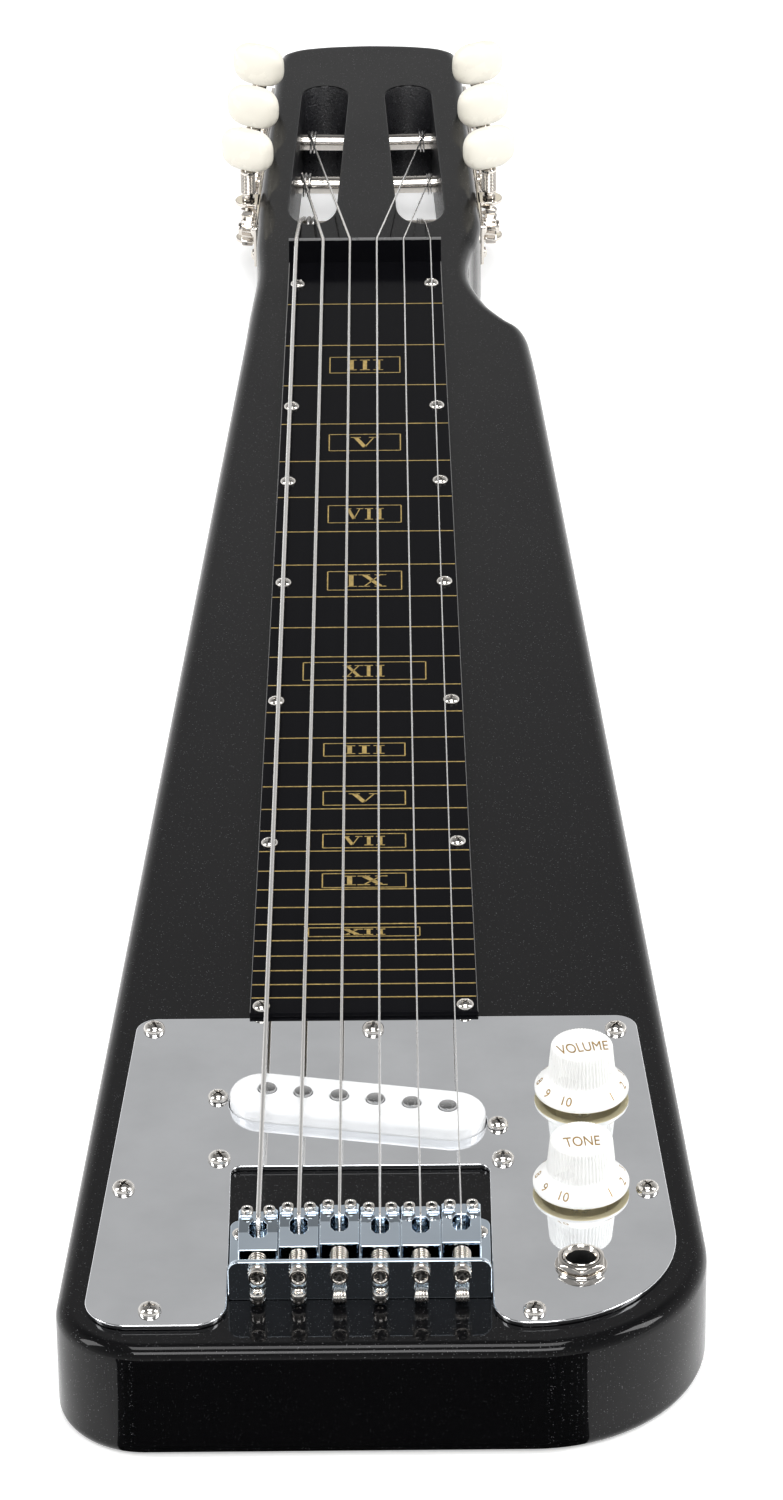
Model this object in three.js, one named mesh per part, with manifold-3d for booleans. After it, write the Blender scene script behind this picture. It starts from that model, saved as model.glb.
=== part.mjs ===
// Lap steel guitar with a slotted head, six strings, one slanted pickup and a top-loaded bridge.
// Millimetres, +Z up. Y runs along the strings towards the head, X towards the thin strings.
// While it is modelled, the origin lies on the string line, at the nut, on the fretboard's top.

import * as THREE from 'three';
import { mergeVertices } from 'three/addons/utils/BufferGeometryUtils.js';
import Module from 'manifold-3d';

const wasm = await Module();
wasm.setup();

// Strings, from the thick one to the thin one
const stringNames = ['low_e', 'a', 'd', 'g', 'b', 'high_e'];
const stringDiameters = [1.32, 1.07, 0.81, 0.61, 0.46, 0.36];
const stringCount = stringNames.length;
const nutSpacing = 9.0;
const nutShift = -0.5;
const stringHeight = 9.4; // string centres above the fretboard, at the saddles
const nutHeight = 7.9; // and at the nut

// Clearances
const gap = 0.3; // between neighbours, and round what turns or slides
const seat = 0.1; // under a piece that lies on a flat face
const overrun = 1; // a cut runs this far past the face that it opens

// Body
const bodyThickness = 33.5;
const bodyRound = 4; // rounding of the edges
const tailRun = 620; // nut to the bridge end
const headRun = 185.2; // nut to the end of the head
const headCentre = 1.1;
const headHalf = 38; // half width where the head's straight sides start
const headSideStart = 48;
const headSideEnd = 162;
const headTaper = THREE.MathUtils.degToRad(2.35);
const shoulderRun = 74; // nut to where the treble side runs straight
const bassTail = 81; // where the straight sides would meet the bridge end
const trebleTail = 92.5;
const bassCorner = 23;
const trebleCorner = 46;

// Fretboard
const fretboardThickness = 3;
const fretboardRun = 466;
const fretboardHalfNut = 25.6;
const fretboardHalfTail = 31.4;

// Nut
const nutThickness = 2;
const nutSlack = 0.2; // under the strings, which bend over the middle of the nut

// Control plate
const plateThickness = 1.4;
const plateMargin = 7.9; // plate's edge to the body's side
const plateTailMargin = 9.5; // plate's legs to the bridge end
const plateCorner = 6;
const legCorner = 11; // outside of the bass leg
const legInnerCorner = 9;
const notchCorner = 3;
const notchStart = 538.6; // nut to the notch that takes the bridge
const plateHoleSides = 12;

// Pickup
const pickupRun = 513;
const pickupX = -1.7;
const pickupSlant = THREE.MathUtils.degToRad(-10.8);
const coverLength = 69.6;
const coverWidth = 18.4;
const coverWall = 1.2;
const coverAbove = 4.5; // cover's top above the plate
const coverDepth = 6; // cover's skirt below the plate
const coverRound = 1.5;
const poleSpacing = 9.85;
const poleDiameter = 4.85;
const poleAbove = 0.8; // pole faces above the cover
const coilDepth = 12; // coil below the plate
const baseThickness = 2;
const pickupScrewSpacing = 76.4;
const pickupScrewDiameter = 3;
const pickupScrewHead = 5.4;
const pickupScrewRise = 1.6;
const pickupEarDiameter = 8;

// Volume and tone controls
const volumeX = 58.6;
const volumeRun = 505;
const toneX = 57.2;
const toneRun = 550;
const controls = [
  { name: 'volume', x: volumeX, run: volumeRun },
  { name: 'tone', x: toneX, run: toneRun },
];
const knobHeight = 14;
const knobLift = 1.75; // under the skirt
const skirtDiameter = 25.4;
const rimHeight = 0.9;
const skirtHeight = 4.8;
const barrelDiameter = 17.9;
const barrelTopDiameter = 16.5;
const knobWall = 2;
const knobEdge = 0.7; // chamfer round the top
const knobRecess = 4.4; // hollow under the skirt, over the nut
const shaftDiameter = 6;
const potDiameter = 17;
const potHeight = 9;
const bushDiameter = 7;
const potNutDiameter = 11;
const potNutHeight = 2;
const potBushRise = 3.4;

// Output jack
const jackX = 56.2;
const jackRun = 585.3;
const jackBore = 6.5;
const jackBushDiameter = 9.4;
const jackBushRise = 3.2;
const jackDepth = 25; // below the plate
const jackCanDiameter = 12;
const jackFlangeDiameter = 17;
const jackFlange = 2;
const jackNutAcross = 12.7;
const jackNutHeight = 2.2;
const washerDiameter = 15;
const washerHeight = 0.7;

// Bridge
const bridgeX = -0.9;
const bridgeWidth = 67.8;
const bridgeEnd = 597.6; // nut to the outer face of its back wall
const bridgeLength = 34; // floor and wall together
const bridgeStart = bridgeEnd - bridgeLength;
const bridgeFloor = 1.5;
const bridgeWall = 1.6;
const bridgeWallHeight = 11.8; // above the body
const bridgeCorner = 3;
const saddleSpacing = 10.5;
const saddleSetback = 20; // string opening's near edge to the outer face of the back wall
const saddleRun = bridgeEnd - saddleSetback;
const saddleStagger = 1.2;
const staggerShares = [-1, 0.1, 0.95, -0.2, -0.1, 0.7];
const saddleLift = 6.2; // saddle's underside above the body
const saddleHeight = 5.8;
const earLength = 4.8;
const earRise = 0.9;
const saddleOpening = 7;
const saddleOpeningWidth = 4.6;
const saddleTail = 5.8; // solid length behind the opening
const stringGroove = 2.4;
const heightScrewDiameter = 3;
const heightScrewSpacing = 5.8;
const heightScrewRise = 2;
const intonationDiameter = 2.6;
const intonationHead = 4.75;
const intonationHeadLength = 3.1;
const intonationHeight = 9.1; // screw axis above the body
const intonationBite = 3.4; // screw inside the saddle
const anchorHeight = 2.8; // string holes in the wall, above the body
const ballDiameter = 4.3;
const ballLength = 3;

// Springs on the intonation screws
const springWire = 0.5;
const springDiameter = 3.9; // centre to centre of the wire
const springSpace = 0.42; // least free space between turns
const coilSteps = 8;
const coilSides = 5;

// Headstock slots and tuners
const slotInset = 19.5; // head's side to the slot's centre line
const slotShift = -0.7; // both slots sit this far off the head's middle
const slotWidth = 16.4;
const slotNear = 36;
const slotFar = 148.5;
const slotRamp = 10; // the far end leans in by this over the body's thickness
const postRun = 96; // nut to the middle post
const postSpacing = 35.3;
const postDrop = 14; // post axis below the body's top
const postDiameter = 6;
const postSocket = 5.6; // post's end in the wood between the slots
const keyOffset = 4.5; // worm axis out from the head's side
const tunerPlateThickness = 1.2;
const tunerPlateLength = 116;
const tunerPlateHeight = 15.2;
const lugWidth = 8.6;
const lugReach = 4.6; // lug's end past the worm axis
const lugThickness = 1.2;
const gearTeeth = 15;
const gearPitchRadius = 5.4;
const gearWidth = 3.6;
const wormPitchRadius = 2.1;
const toothAddendum = 0.6;
const toothDedendum = 0.85;
const toothPlay = 0.3;
const toothSlope = Math.tan(THREE.MathUtils.degToRad(20));
const gearScrewDiameter = 4.4;
const gearScrewRise = 1.4;
const wormTurns = 3.5;
const keyNeckDiameter = 4.4;
const keyNeckHeight = 2.2;
const collarDiameter = 5.4;
const collarHeight = 8.8;
const stemDiameter = 3;
const stemHeight = 7;
const buttonWidth = 19.4;
const buttonDepth = 8;
const buttonHeight = 15.2;
const buttonTurn = THREE.MathUtils.degToRad(27);
const windTurns = 2;
const windSteps = 10;
// First turn, out from the slot's centre line, nearest post first, as shares of the slot's width
const windShares = { bass: [0.2256, 0.3841, 0.3415], treble: [0.0671, 0.3841, 0.3415] };
const turnSpace = 0.45; // between turns on a post

// Cavity under the control plate
const cavityFloor = 3.5; // wood left under the cavity
const cavityClear = 2.5;

// Levels that follow from the sizes above
const bodyTop = -fretboardThickness;
const bodyBottom = bodyTop - bodyThickness;
const plateBottom = bodyTop + seat;
const plateTop = plateBottom + plateThickness;
const postZ = bodyTop - postDrop;
const stringRadius = (i) => stringDiameters[i] / 2;
const nutX = (i) => nutShift + (i - (stringCount - 1) / 2) * nutSpacing;
const saddleX = (i) => bridgeX + (i - (stringCount - 1) / 2) * saddleSpacing;
const saddleY = (i) => -saddleRun + staggerShares[i] * saddleStagger;

// Finishes
const finish = (color, roughness, metalness) => (
  new THREE.MeshStandardMaterial({ color, roughness, metalness })
);
const blackGloss = finish(0x17171a, 0.18, 0.35);
const boardBlack = finish(0x0e0e10, 0.15, 0.1);
const mirrorChrome = finish(0xc9ccd0, 0.06, 1);
const nickel = finish(0xb9b4aa, 0.22, 1);
const white = finish(0xf2f2f0, 0.3, 0);
const cream = finish(0xf4ecd8, 0.3, 0);
const steel = finish(0xc4c2bd, 0.3, 1);
const bobbinBlack = finish(0x1a1a1a, 0.6, 0.2);
const zinc = finish(0x9a9c9e, 0.4, 1);

// Closed meshes to solids and back
function solid(geometry) {
  const bare = geometry.clone();
  for (const name of Object.keys(bare.attributes)) {
    if (name !== 'position') bare.deleteAttribute(name);
  }
  const merged = mergeVertices(bare);
  return new wasm.Manifold(new wasm.Mesh({
    numProp: 3,
    vertProperties: Float32Array.from(merged.attributes.position.array),
    triVerts: Uint32Array.from(merged.index.array),
  }));
}

function geometryOf(manifold) {
  const mesh = manifold.getMesh();
  const geometry = new THREE.BufferGeometry();
  geometry.setAttribute('position', new THREE.BufferAttribute(mesh.vertProperties, 3));
  geometry.setIndex(new THREE.BufferAttribute(mesh.triVerts, 1));
  return geometry;
}

const join = (...pieces) => pieces.reduce((sum, piece) => sum.add(piece));
const cut = (piece, ...tools) => tools.reduce((rest, tool) => rest.subtract(tool), piece);

// Solid between two heights over an outline, with rounded edges where a radius is given
function prism(outline, low, high, round = 0, roundSteps = 2) {
  const geometry = new THREE.ExtrudeGeometry(new THREE.Shape(outline), {
    depth: high - low - 2 * round,
    bevelEnabled: round > 0,
    bevelThickness: round,
    bevelSize: round,
    bevelOffset: -round,
    bevelSegments: roundSteps,
  });
  return solid(geometry.translate(0, 0, low + round));
}

// Upright rod between two heights
function rod(diameter, low, high, x, y, sides = 16) {
  const geometry = new THREE.CylinderGeometry(diameter / 2, diameter / 2, high - low, sides);
  return solid(geometry.rotateX(Math.PI / 2).translate(x, y, (low + high) / 2));
}

// Rod along Y between two stations
function rodY(diameter, near, far, x, z, sides = 12) {
  const geometry = new THREE.CylinderGeometry(diameter / 2, diameter / 2, far - near, sides);
  return solid(geometry.translate(x, (near + far) / 2, z));
}

// Rod along X between two stations
function rodX(diameter, near, far, y, z, sides = 12) {
  const geometry = new THREE.CylinderGeometry(diameter / 2, diameter / 2, far - near, sides);
  return solid(geometry.rotateZ(Math.PI / 2).translate((near + far) / 2, y, z));
}

// Box between two corners
function box(x0, x1, y0, y1, z0, z1) {
  const geometry = new THREE.BoxGeometry(x1 - x0, y1 - y0, z1 - z0);
  return solid(geometry.translate((x0 + x1) / 2, (y0 + y1) / 2, (z0 + z1) / 2));
}

// Turned piece about an upright axis, from [radius, height] points
function turned(profile, x, y, sides = 32) {
  const points = profile.map(([radius, z]) => new THREE.Vector2(radius, z));
  return solid(new THREE.LatheGeometry(points, sides).rotateX(Math.PI / 2).translate(x, y, 0));
}

// Polygon with an arc of the given radius at each corner
function rounded(corners, steps = 5) {
  const outline = [];
  corners.forEach(([x, y, radius], i) => {
    const here = new THREE.Vector2(x, y);
    const before = new THREE.Vector2(...corners.at(i - 1));
    const after = new THREE.Vector2(...corners[(i + 1) % corners.length]);
    if (!radius) {
      outline.push(here);
      return;
    }
    const back = before.sub(here).normalize();
    const on = after.sub(here).normalize();
    const half = Math.acos(back.dot(on)) / 2;
    const bisector = back.clone().add(on).normalize();
    const centre = here.clone().addScaledVector(bisector, radius / Math.sin(half));
    const start = here.clone().addScaledVector(back, radius / Math.tan(half)).sub(centre);
    const end = here.clone().addScaledVector(on, radius / Math.tan(half)).sub(centre);
    const sweep = Math.atan2(start.cross(end), start.dot(end));
    for (let step = 0; step <= steps; step++) {
      outline.push(start.clone().rotateAround(new THREE.Vector2(), sweep * step / steps).add(centre));
    }
  });
  return outline;
}

// Straight slot outline with round ends, along X and centred
function stadium(length, width, steps = 7) {
  const reach = (length - width) / 2;
  const outline = [];
  for (let step = 0; step <= 2 * steps + 1; step++) {
    const right = step <= steps;
    const angle = (right ? step : step - 1) * Math.PI / steps - Math.PI / 2;
    outline.push(new THREE.Vector2(
      (right ? reach : -reach) + Math.cos(angle) * width / 2,
      Math.sin(angle) * width / 2,
    ));
  }
  return outline;
}

// Skin over rings of points with a fan on each end
function loft(rings) {
  const count = rings[0].length;
  const centreOf = (ring) => ring.reduce((sum, p) => sum.add(p), new THREE.Vector3()).divideScalar(count);
  const points = [...rings.flat(), centreOf(rings[0]), centreOf(rings.at(-1))];
  const first = rings.length * count;
  const faces = [];
  for (let k = 0; k < count; k++) {
    const next = (k + 1) % count;
    const top = (rings.length - 1) * count;
    faces.push(first, next, k, first + 1, top + k, top + next);
    for (let r = 0; r < rings.length - 1; r++) {
      const low = r * count;
      const high = low + count;
      faces.push(low + k, low + next, high + next, low + k, high + next, high + k);
    }
  }
  const geometry = new THREE.BufferGeometry().setFromPoints(points);
  geometry.setIndex(faces);
  return geometry;
}

// Round tube along a path of points
function tube(path, radius, sides) {
  const tangents = path.map((point, i) => {
    const before = path[Math.max(i - 1, 0)];
    const after = path[Math.min(i + 1, path.length - 1)];
    const into = point.clone().sub(before).normalize();
    const out = after.clone().sub(point).normalize();
    return into.add(out).normalize();
  });
  const side = new THREE.Vector3(0, 0, 1).cross(tangents[0]).normalize();
  const rings = path.map((point, i) => {
    side.addScaledVector(tangents[i], -side.dot(tangents[i])).normalize();
    const up = tangents[i].clone().cross(side);
    return Array.from({ length: sides }, (_, k) => {
      const angle = 2 * Math.PI * k / sides;
      return point.clone()
        .addScaledVector(side, Math.cos(angle) * radius)
        .addScaledVector(up, Math.sin(angle) * radius);
    });
  });
  return loft(rings);
}

// Least free space between turns of a wound tube, measured on its centre line
function leastSpace(path, diameter, skip) {
  let least = Infinity;
  for (let i = 0; i < path.length; i++) {
    for (let j = i + skip; j < path.length; j++) least = Math.min(least, path[i].distanceTo(path[j]));
  }
  return least - diameter;
}

// The model and its tree of groups
const model = new THREE.Group();

function add(name, manifold, material, parent = model) {
  const mesh = new THREE.Mesh(geometryOf(manifold), material);
  mesh.name = name;
  parent.add(mesh);
  return mesh;
}

// Body outline: shares of the head's half width, and of the runs from the nut
const trebleWaistShares = [
  [1.0, 1.0], [1.01, 0.8], [0.976, 0.56], [0.922, 0.38], [0.888, 0.15], [0.894, -0.045],
  [0.945, -0.176], [1.057, -0.348], [1.214, -0.488], [1.319, -0.561], [1.38, -0.664], [1.414, -0.81],
  [1.446, -1.0],
];
const bassWaistShares = [
  [-1.073, -0.66], [-1.036, -0.36], [-0.999, -0.12], [-0.987, 0.04], [-0.993, 0.24], [-1.004, 0.5],
  [-1.0, 0.8], [-1.0, 1.0],
];
const headEndShares = [
  [0.866, 0.915], [0.841, 0.943], [0.807, 0.962], [0.666, 0.982], [0.45, 0.993], [0.22, 0.998], [0, 1],
];

const waistPoint = ([x, y]) => new THREE.Vector2(
  headCentre + x * headHalf,
  y * (y > 0 ? headSideStart : shoulderRun),
);
const smooth = (points, pieces) => new THREE.SplineCurve(points).getSpacedPoints(pieces);
const headSide = (side, y) => headCentre + side * (headHalf - (y - headSideStart) * Math.tan(headTaper));

const trebleShoulder = waistPoint(trebleWaistShares.at(-1));
const bassShoulder = waistPoint(bassWaistShares[0]);
const tailCorners = [
  [trebleShoulder.x, trebleShoulder.y, 0],
  [bassShoulder.x, bassShoulder.y, 0],
  [-bassTail, -tailRun, bassCorner],
  [trebleTail, -tailRun, trebleCorner],
];

// Where the straight side lies at a distance from the nut
function tailSide(side, y) {
  const shoulder = side < 0 ? bassShoulder : trebleShoulder;
  const corner = side < 0 ? -bassTail : trebleTail;
  return corner + (shoulder.x - corner) * (y + tailRun) / (shoulder.y + tailRun);
}

function bodyOutline() {
  const tail = rounded(tailCorners, 6).slice(2);
  const headEnd = (side) => [
    new THREE.Vector2(headSide(side, headSideEnd), headSideEnd),
    ...headEndShares.map(([x, y]) => new THREE.Vector2(headCentre + side * x * headHalf, y * headRun)),
  ];
  const trebleEnd = smooth(headEnd(1), 11);
  const bassEnd = smooth(headEnd(-1), 11).reverse().slice(1);
  const trebleWaist = smooth(trebleWaistShares.map(waistPoint), 14).reverse();
  const bassWaist = smooth(bassWaistShares.map(waistPoint), 7).reverse();
  return [...tail, ...trebleWaist, ...trebleEnd, ...bassEnd, ...bassWaist];
}

// Frames of the two rows of tuners: X out of the head's side, Y along it, Z at the post axes
function tunerGroup(side) {
  const group = new THREE.Group();
  group.position.set(headSide(side, postRun), postRun, postZ);
  group.rotation.z = side * headTaper;
  model.add(group);
  group.updateMatrixWorld();
  return group;
}
const tunerGroups = { bass: tunerGroup(-1), treble: tunerGroup(1) };
const tunerSides = { bass: -1, treble: 1 };

// Thick strings run to the bass side, nearest post first, and the thin ones mirror them
function tunerOf(i) {
  const bass = i < stringCount / 2;
  const row = bass ? i : stringCount - 1 - i;
  const side = bass ? 'bass' : 'treble';
  return {
    side,
    out: bass ? -1 : 1,
    y: (row - 1) * postSpacing,
    windOffset: windShares[side][row] * slotWidth,
  };
}

// Slot through the head, with its far end leaning in towards the underside
function slotCutter(side) {
  const out = tunerSides[side];
  const near = slotNear - postRun;
  const ring = (z, far) => stadium(far - near, slotWidth, 6).map((p) => (
    new THREE.Vector3(slotShift - out * slotInset - p.y, (far + near) / 2 + p.x, z)
  ));
  const lean = slotRamp * overrun / bodyThickness;
  const bottom = bodyBottom - postZ - overrun;
  const top = bodyTop - postZ + overrun;
  const cutter = loft([
    ring(bottom, slotFar - postRun - slotRamp - lean),
    ring(top, slotFar - postRun + lean),
  ]);
  return solid(cutter.applyMatrix4(tunerGroups[side].matrixWorld));
}

// Bores for the posts: through the outer wood, over the slot, and blind into the middle
function postBores(side) {
  const out = tunerSides[side];
  const inner = slotInset + slotWidth / 2 + postSocket + gap;
  const ends = [out * overrun, slotShift - out * inner].sort((a, b) => a - b);
  const bores = [-1, 0, 1].map((row) => rodX(postDiameter + 2 * gap, ...ends, row * postSpacing, 0, 16));
  const matrix = tunerGroups[side].matrixWorld.elements;
  return join(...bores).transform(matrix);
}

// Places on the control plate
const pickupFrame = (points) => points.map((p) => (
  p.clone().rotateAround(new THREE.Vector2(), pickupSlant).add(new THREE.Vector2(pickupX, -pickupRun))
));
const pickupScrewPlaces = pickupFrame([
  new THREE.Vector2(-pickupScrewSpacing / 2, 0),
  new THREE.Vector2(pickupScrewSpacing / 2, 0),
]);

// Cavity: a pocket for the pickup, one for the controls and a channel between them
function cavity() {
  const low = bodyBottom + cavityFloor;
  const high = bodyTop + overrun;
  const pickupPocket = prism(
    pickupFrame(stadium(
      pickupScrewSpacing + pickupEarDiameter + 2 * cavityClear,
      coverWidth + 2 * cavityClear,
    )),
    plateBottom - coilDepth - baseThickness - cavityClear,
    high,
  );
  const half = Math.max(potDiameter, jackFlangeDiameter) / 2 + cavityClear;
  const middle = (controls[0].x + jackX) / 2;
  const pocket = prism(rounded([
    [middle - half, -jackRun - half, half / 2],
    [middle + half, -jackRun - half, half / 2],
    [middle + half, -controls[0].run + half, half / 2],
    [middle - half, -controls[0].run + half, half / 2],
  ]), low, high);
  const channel = box(
    pickupX, middle, -pickupRun - coverWidth / 2, -pickupRun + coverWidth / 2,
    plateBottom - coilDepth, high,
  );
  return join(pickupPocket, pocket, channel);
}

function makeBody() {
  const slab = prism(bodyOutline(), bodyBottom, bodyTop, bodyRound);
  const body = cut(
    slab, slotCutter('bass'), slotCutter('treble'), postBores('bass'), postBores('treble'), cavity(),
  );
  add('body', body, blackGloss);
}

// Fretboard and nut
function makeFretboard() {
  const outline = [
    new THREE.Vector2(-fretboardHalfTail, -fretboardRun),
    new THREE.Vector2(fretboardHalfTail, -fretboardRun),
    new THREE.Vector2(fretboardHalfNut, -gap),
    new THREE.Vector2(-fretboardHalfNut, -gap),
  ];
  add('fretboard', prism(outline, bodyTop + seat, 0), boardBlack);
}

function makeNut() {
  const top = nutHeight; // level with the string centres
  const block = box(-fretboardHalfNut, fretboardHalfNut, 0, nutThickness, bodyTop + seat, top);
  const notches = stringNames.map((_, i) => {
    const radius = stringRadius(i) + gap;
    return box(
      nutX(i) - radius, nutX(i) + radius, -overrun, nutThickness + overrun,
      nutHeight - radius - nutSlack, top + overrun,
    );
  });
  add('nut', cut(block, ...notches), boardBlack);
}

// Control plate with its notch for the bridge
function makeControlPlate() {
  const top = -fretboardRun - gap;
  const low = -tailRun + plateTailMargin;
  const notch = -notchStart;
  const side = bridgeWidth / 2 + gap;
  const bassEdge = (y) => tailSide(-1, y) + plateMargin;
  const trebleEdge = (y) => tailSide(1, y) - plateMargin;
  const sweep = trebleCorner - plateMargin;
  const outline = rounded([
    [bassEdge(top), top, plateCorner],
    [bassEdge(low), low, legCorner],
    [bridgeX - side, low, legInnerCorner],
    [bridgeX - side, notch, notchCorner],
    [bridgeX + side, notch, notchCorner],
    [bridgeX + side, low, legInnerCorner],
    [trebleEdge(low), low, sweep],
    [trebleEdge(top), top, plateCorner],
  ]);
  const plate = prism(outline, plateBottom, plateTop);
  const ends = [plateBottom - overrun, plateTop + overrun];
  const pickupHole = prism(pickupFrame(stadium(coverLength + 2 * gap, coverWidth + 2 * gap)), ...ends);
  const hole = (diameter, x, y) => rod(diameter, ...ends, x, y, plateHoleSides);
  const holes = [
    pickupHole,
    ...controls.map(({ x, run }) => hole(bushDiameter + 2 * gap, x, -run)),
    ...pickupScrewPlaces.map((p) => hole(pickupScrewDiameter + 2 * gap, p.x, p.y)),
    hole(jackBushDiameter + 2 * gap, jackX, -jackRun),
  ];
  add('control_plate', cut(plate, ...holes), mirrorChrome);
}

// Pickup: a moulded cover over a coil on a base, with pole pieces and height screws
function makePickup() {
  const coverTop = plateTop + coverAbove;
  const coverLow = plateBottom - coverDepth;
  const shell = (shrink, low, high, round) => prism(
    pickupFrame(stadium(coverLength - shrink, coverWidth - shrink)), low, high, round,
  );
  const blank = shell(0, coverLow - coverRound, coverTop, coverRound);
  const foot = box(
    pickupX - coverLength, pickupX + coverLength, -pickupRun - coverLength, -pickupRun + coverLength,
    coverLow - coverRound - overrun, coverLow,
  );
  const hollow = shell(2 * coverWall, coverLow - overrun, coverTop - coverWall, 0);
  const poleX = (i) => (i - (stringCount - 1) / 2) * poleSpacing;
  const poles = pickupFrame(stringNames.map((_, i) => new THREE.Vector2(poleX(i), 0)));
  const poleTop = coverTop + poleAbove;
  const poleHoles = poles.map((p) => (
    rod(poleDiameter + 2 * gap, coverTop - coverWall - overrun, coverTop + overrun, p.x, p.y, 12)
  ));
  add('pickup_cover', cut(blank, foot, hollow, ...poleHoles), white);

  const coilShrink = 2 * (coverWall + gap);
  const base = plateBottom - coilDepth;
  const coil = shell(coilShrink, base, coverTop - coverWall - gap, 0);
  const baseLength = pickupScrewSpacing + pickupEarDiameter;
  const baseOutline = pickupFrame(stadium(baseLength, pickupEarDiameter + coverWall));
  const flat = prism(baseOutline, base - baseThickness, base + baseThickness);
  const poleRods = poles.map((p) => rod(poleDiameter, base, poleTop, p.x, p.y, 10));
  const screws = pickupScrewPlaces.map((p) => join(
    rod(pickupScrewDiameter, base - baseThickness, plateTop + gap + seat, p.x, p.y, 8),
    turned([
      [0, plateTop + gap],
      [pickupScrewHead / 2, plateTop + gap],
      [pickupScrewHead / 3, plateTop + pickupScrewRise],
      [0, plateTop + pickupScrewRise],
    ], p.x, p.y, 12),
  ));
  add('pickup_coil', join(coil, flat, ...poleRods, ...screws), bobbinBlack);
}

// Volume and tone: pot under the plate, its shaft, and a knob with a skirt
function makeControl({ name, x, run }) {
  const y = -run;
  const potTop = plateBottom - seat;
  const bushTop = plateTop + potBushRise;
  const shaftFoot = potTop - potHeight / 2;
  const pot = join(
    rod(potDiameter, potTop - potHeight, potTop, x, y, 16),
    rod(bushDiameter, potTop - seat, bushTop, x, y, 12),
    rod(potNutDiameter, plateTop + seat, plateTop + seat + potNutHeight, x, y, 6),
  );
  const bore = rod(shaftDiameter + 2 * gap, shaftFoot, bushTop + overrun, x, y, 12);
  add(`${name}_pot`, cut(pot, bore), zinc);

  const skirtLow = plateTop + knobLift;
  const top = skirtLow + knobHeight;
  const shaftTop = top - knobWall - gap;
  add(`${name}_shaft`, rod(shaftDiameter, shaftFoot + gap, shaftTop, x, y, 12), steel);

  const knob = turned([
    [0, skirtLow],
    [skirtDiameter / 2, skirtLow],
    [skirtDiameter / 2, skirtLow + rimHeight],
    [barrelDiameter / 2, skirtLow + skirtHeight],
    [barrelTopDiameter / 2, top - knobEdge],
    [barrelTopDiameter / 2 - knobEdge, top],
    [0, top],
  ], x, y, 28);
  const hollow = turned([
    [0, skirtLow - overrun],
    [skirtDiameter / 2 - knobWall, skirtLow - overrun],
    [skirtDiameter / 2 - knobWall, skirtLow],
    [barrelDiameter / 2 - knobWall, skirtLow + knobRecess],
    [0, skirtLow + knobRecess],
  ], x, y, 16);
  const socket = rod(shaftDiameter + 2 * gap, skirtLow, top - knobWall, x, y, 12);
  add(`${name}_knob`, cut(knob, hollow, socket), white);
}

// Output jack: a can under the plate, a threaded bush through it, and a nut with its washer
function makeJack() {
  const y = -jackRun;
  const under = plateBottom - seat;
  const top = plateTop + jackBushRise;
  const socket = join(
    rod(jackFlangeDiameter, under - jackFlange, under, jackX, y, 16),
    rod(jackCanDiameter, plateBottom - jackDepth, under - jackFlange / 2, jackX, y, 16),
    rod(jackBushDiameter, under - jackFlange / 2, top, jackX, y, 16),
  );
  const bore = rod(jackBore, plateBottom - jackDepth + jackFlange, top + overrun, jackX, y, 16);
  add('jack_socket', cut(socket, bore), nickel);

  const seatZ = plateTop + seat;
  const hexDiameter = jackNutAcross / Math.cos(Math.PI / 6);
  const nut = join(
    rod(washerDiameter, seatZ, seatZ + washerHeight, jackX, y, 24),
    rod(hexDiameter, seatZ + washerHeight / 2, seatZ + washerHeight + jackNutHeight, jackX, y, 6),
  );
  const thread = rod(jackBushDiameter + 2 * gap, seatZ - overrun, top + overrun, jackX, y, 16);
  add('jack_nut', cut(nut, thread), nickel);
}

// Bridge: floor plate with a back wall that the screws and strings pass through
function makeBridge() {
  const x0 = bridgeX - bridgeWidth / 2;
  const x1 = bridgeX + bridgeWidth / 2;
  const low = bodyTop + seat;
  const floorOutline = rounded([
    [x0, -bridgeEnd, 0],
    [x1, -bridgeEnd, 0],
    [x1, -bridgeStart, bridgeCorner],
    [x0, -bridgeStart, bridgeCorner],
  ], 3);
  const floor = prism(floorOutline, low, low + bridgeFloor);
  const wallTop = bodyTop + bridgeWallHeight;
  const wallOutline = rounded([
    [x0, low, 0],
    [x1, low, 0],
    [x1, wallTop, bridgeCorner],
    [x0, wallTop, bridgeCorner],
  ], 3);
  const wallShape = new THREE.ExtrudeGeometry(new THREE.Shape(wallOutline), {
    depth: bridgeWall,
    bevelEnabled: false,
  });
  const wall = solid(wallShape.rotateX(Math.PI / 2).translate(0, -bridgeEnd + bridgeWall, 0));
  const near = -bridgeEnd - overrun;
  const far = -bridgeEnd + bridgeWall + overrun;
  const holes = stringNames.flatMap((_, i) => [
    rodY(intonationDiameter + 2 * gap, near, far, saddleX(i), bodyTop + intonationHeight, 8),
    rodY(stringDiameters[i] + 3 * gap, near, far, saddleX(i), bodyTop + anchorHeight, 6),
  ]);
  add('bridge_plate', cut(join(floor, wall), ...holes), mirrorChrome);
}

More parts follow.
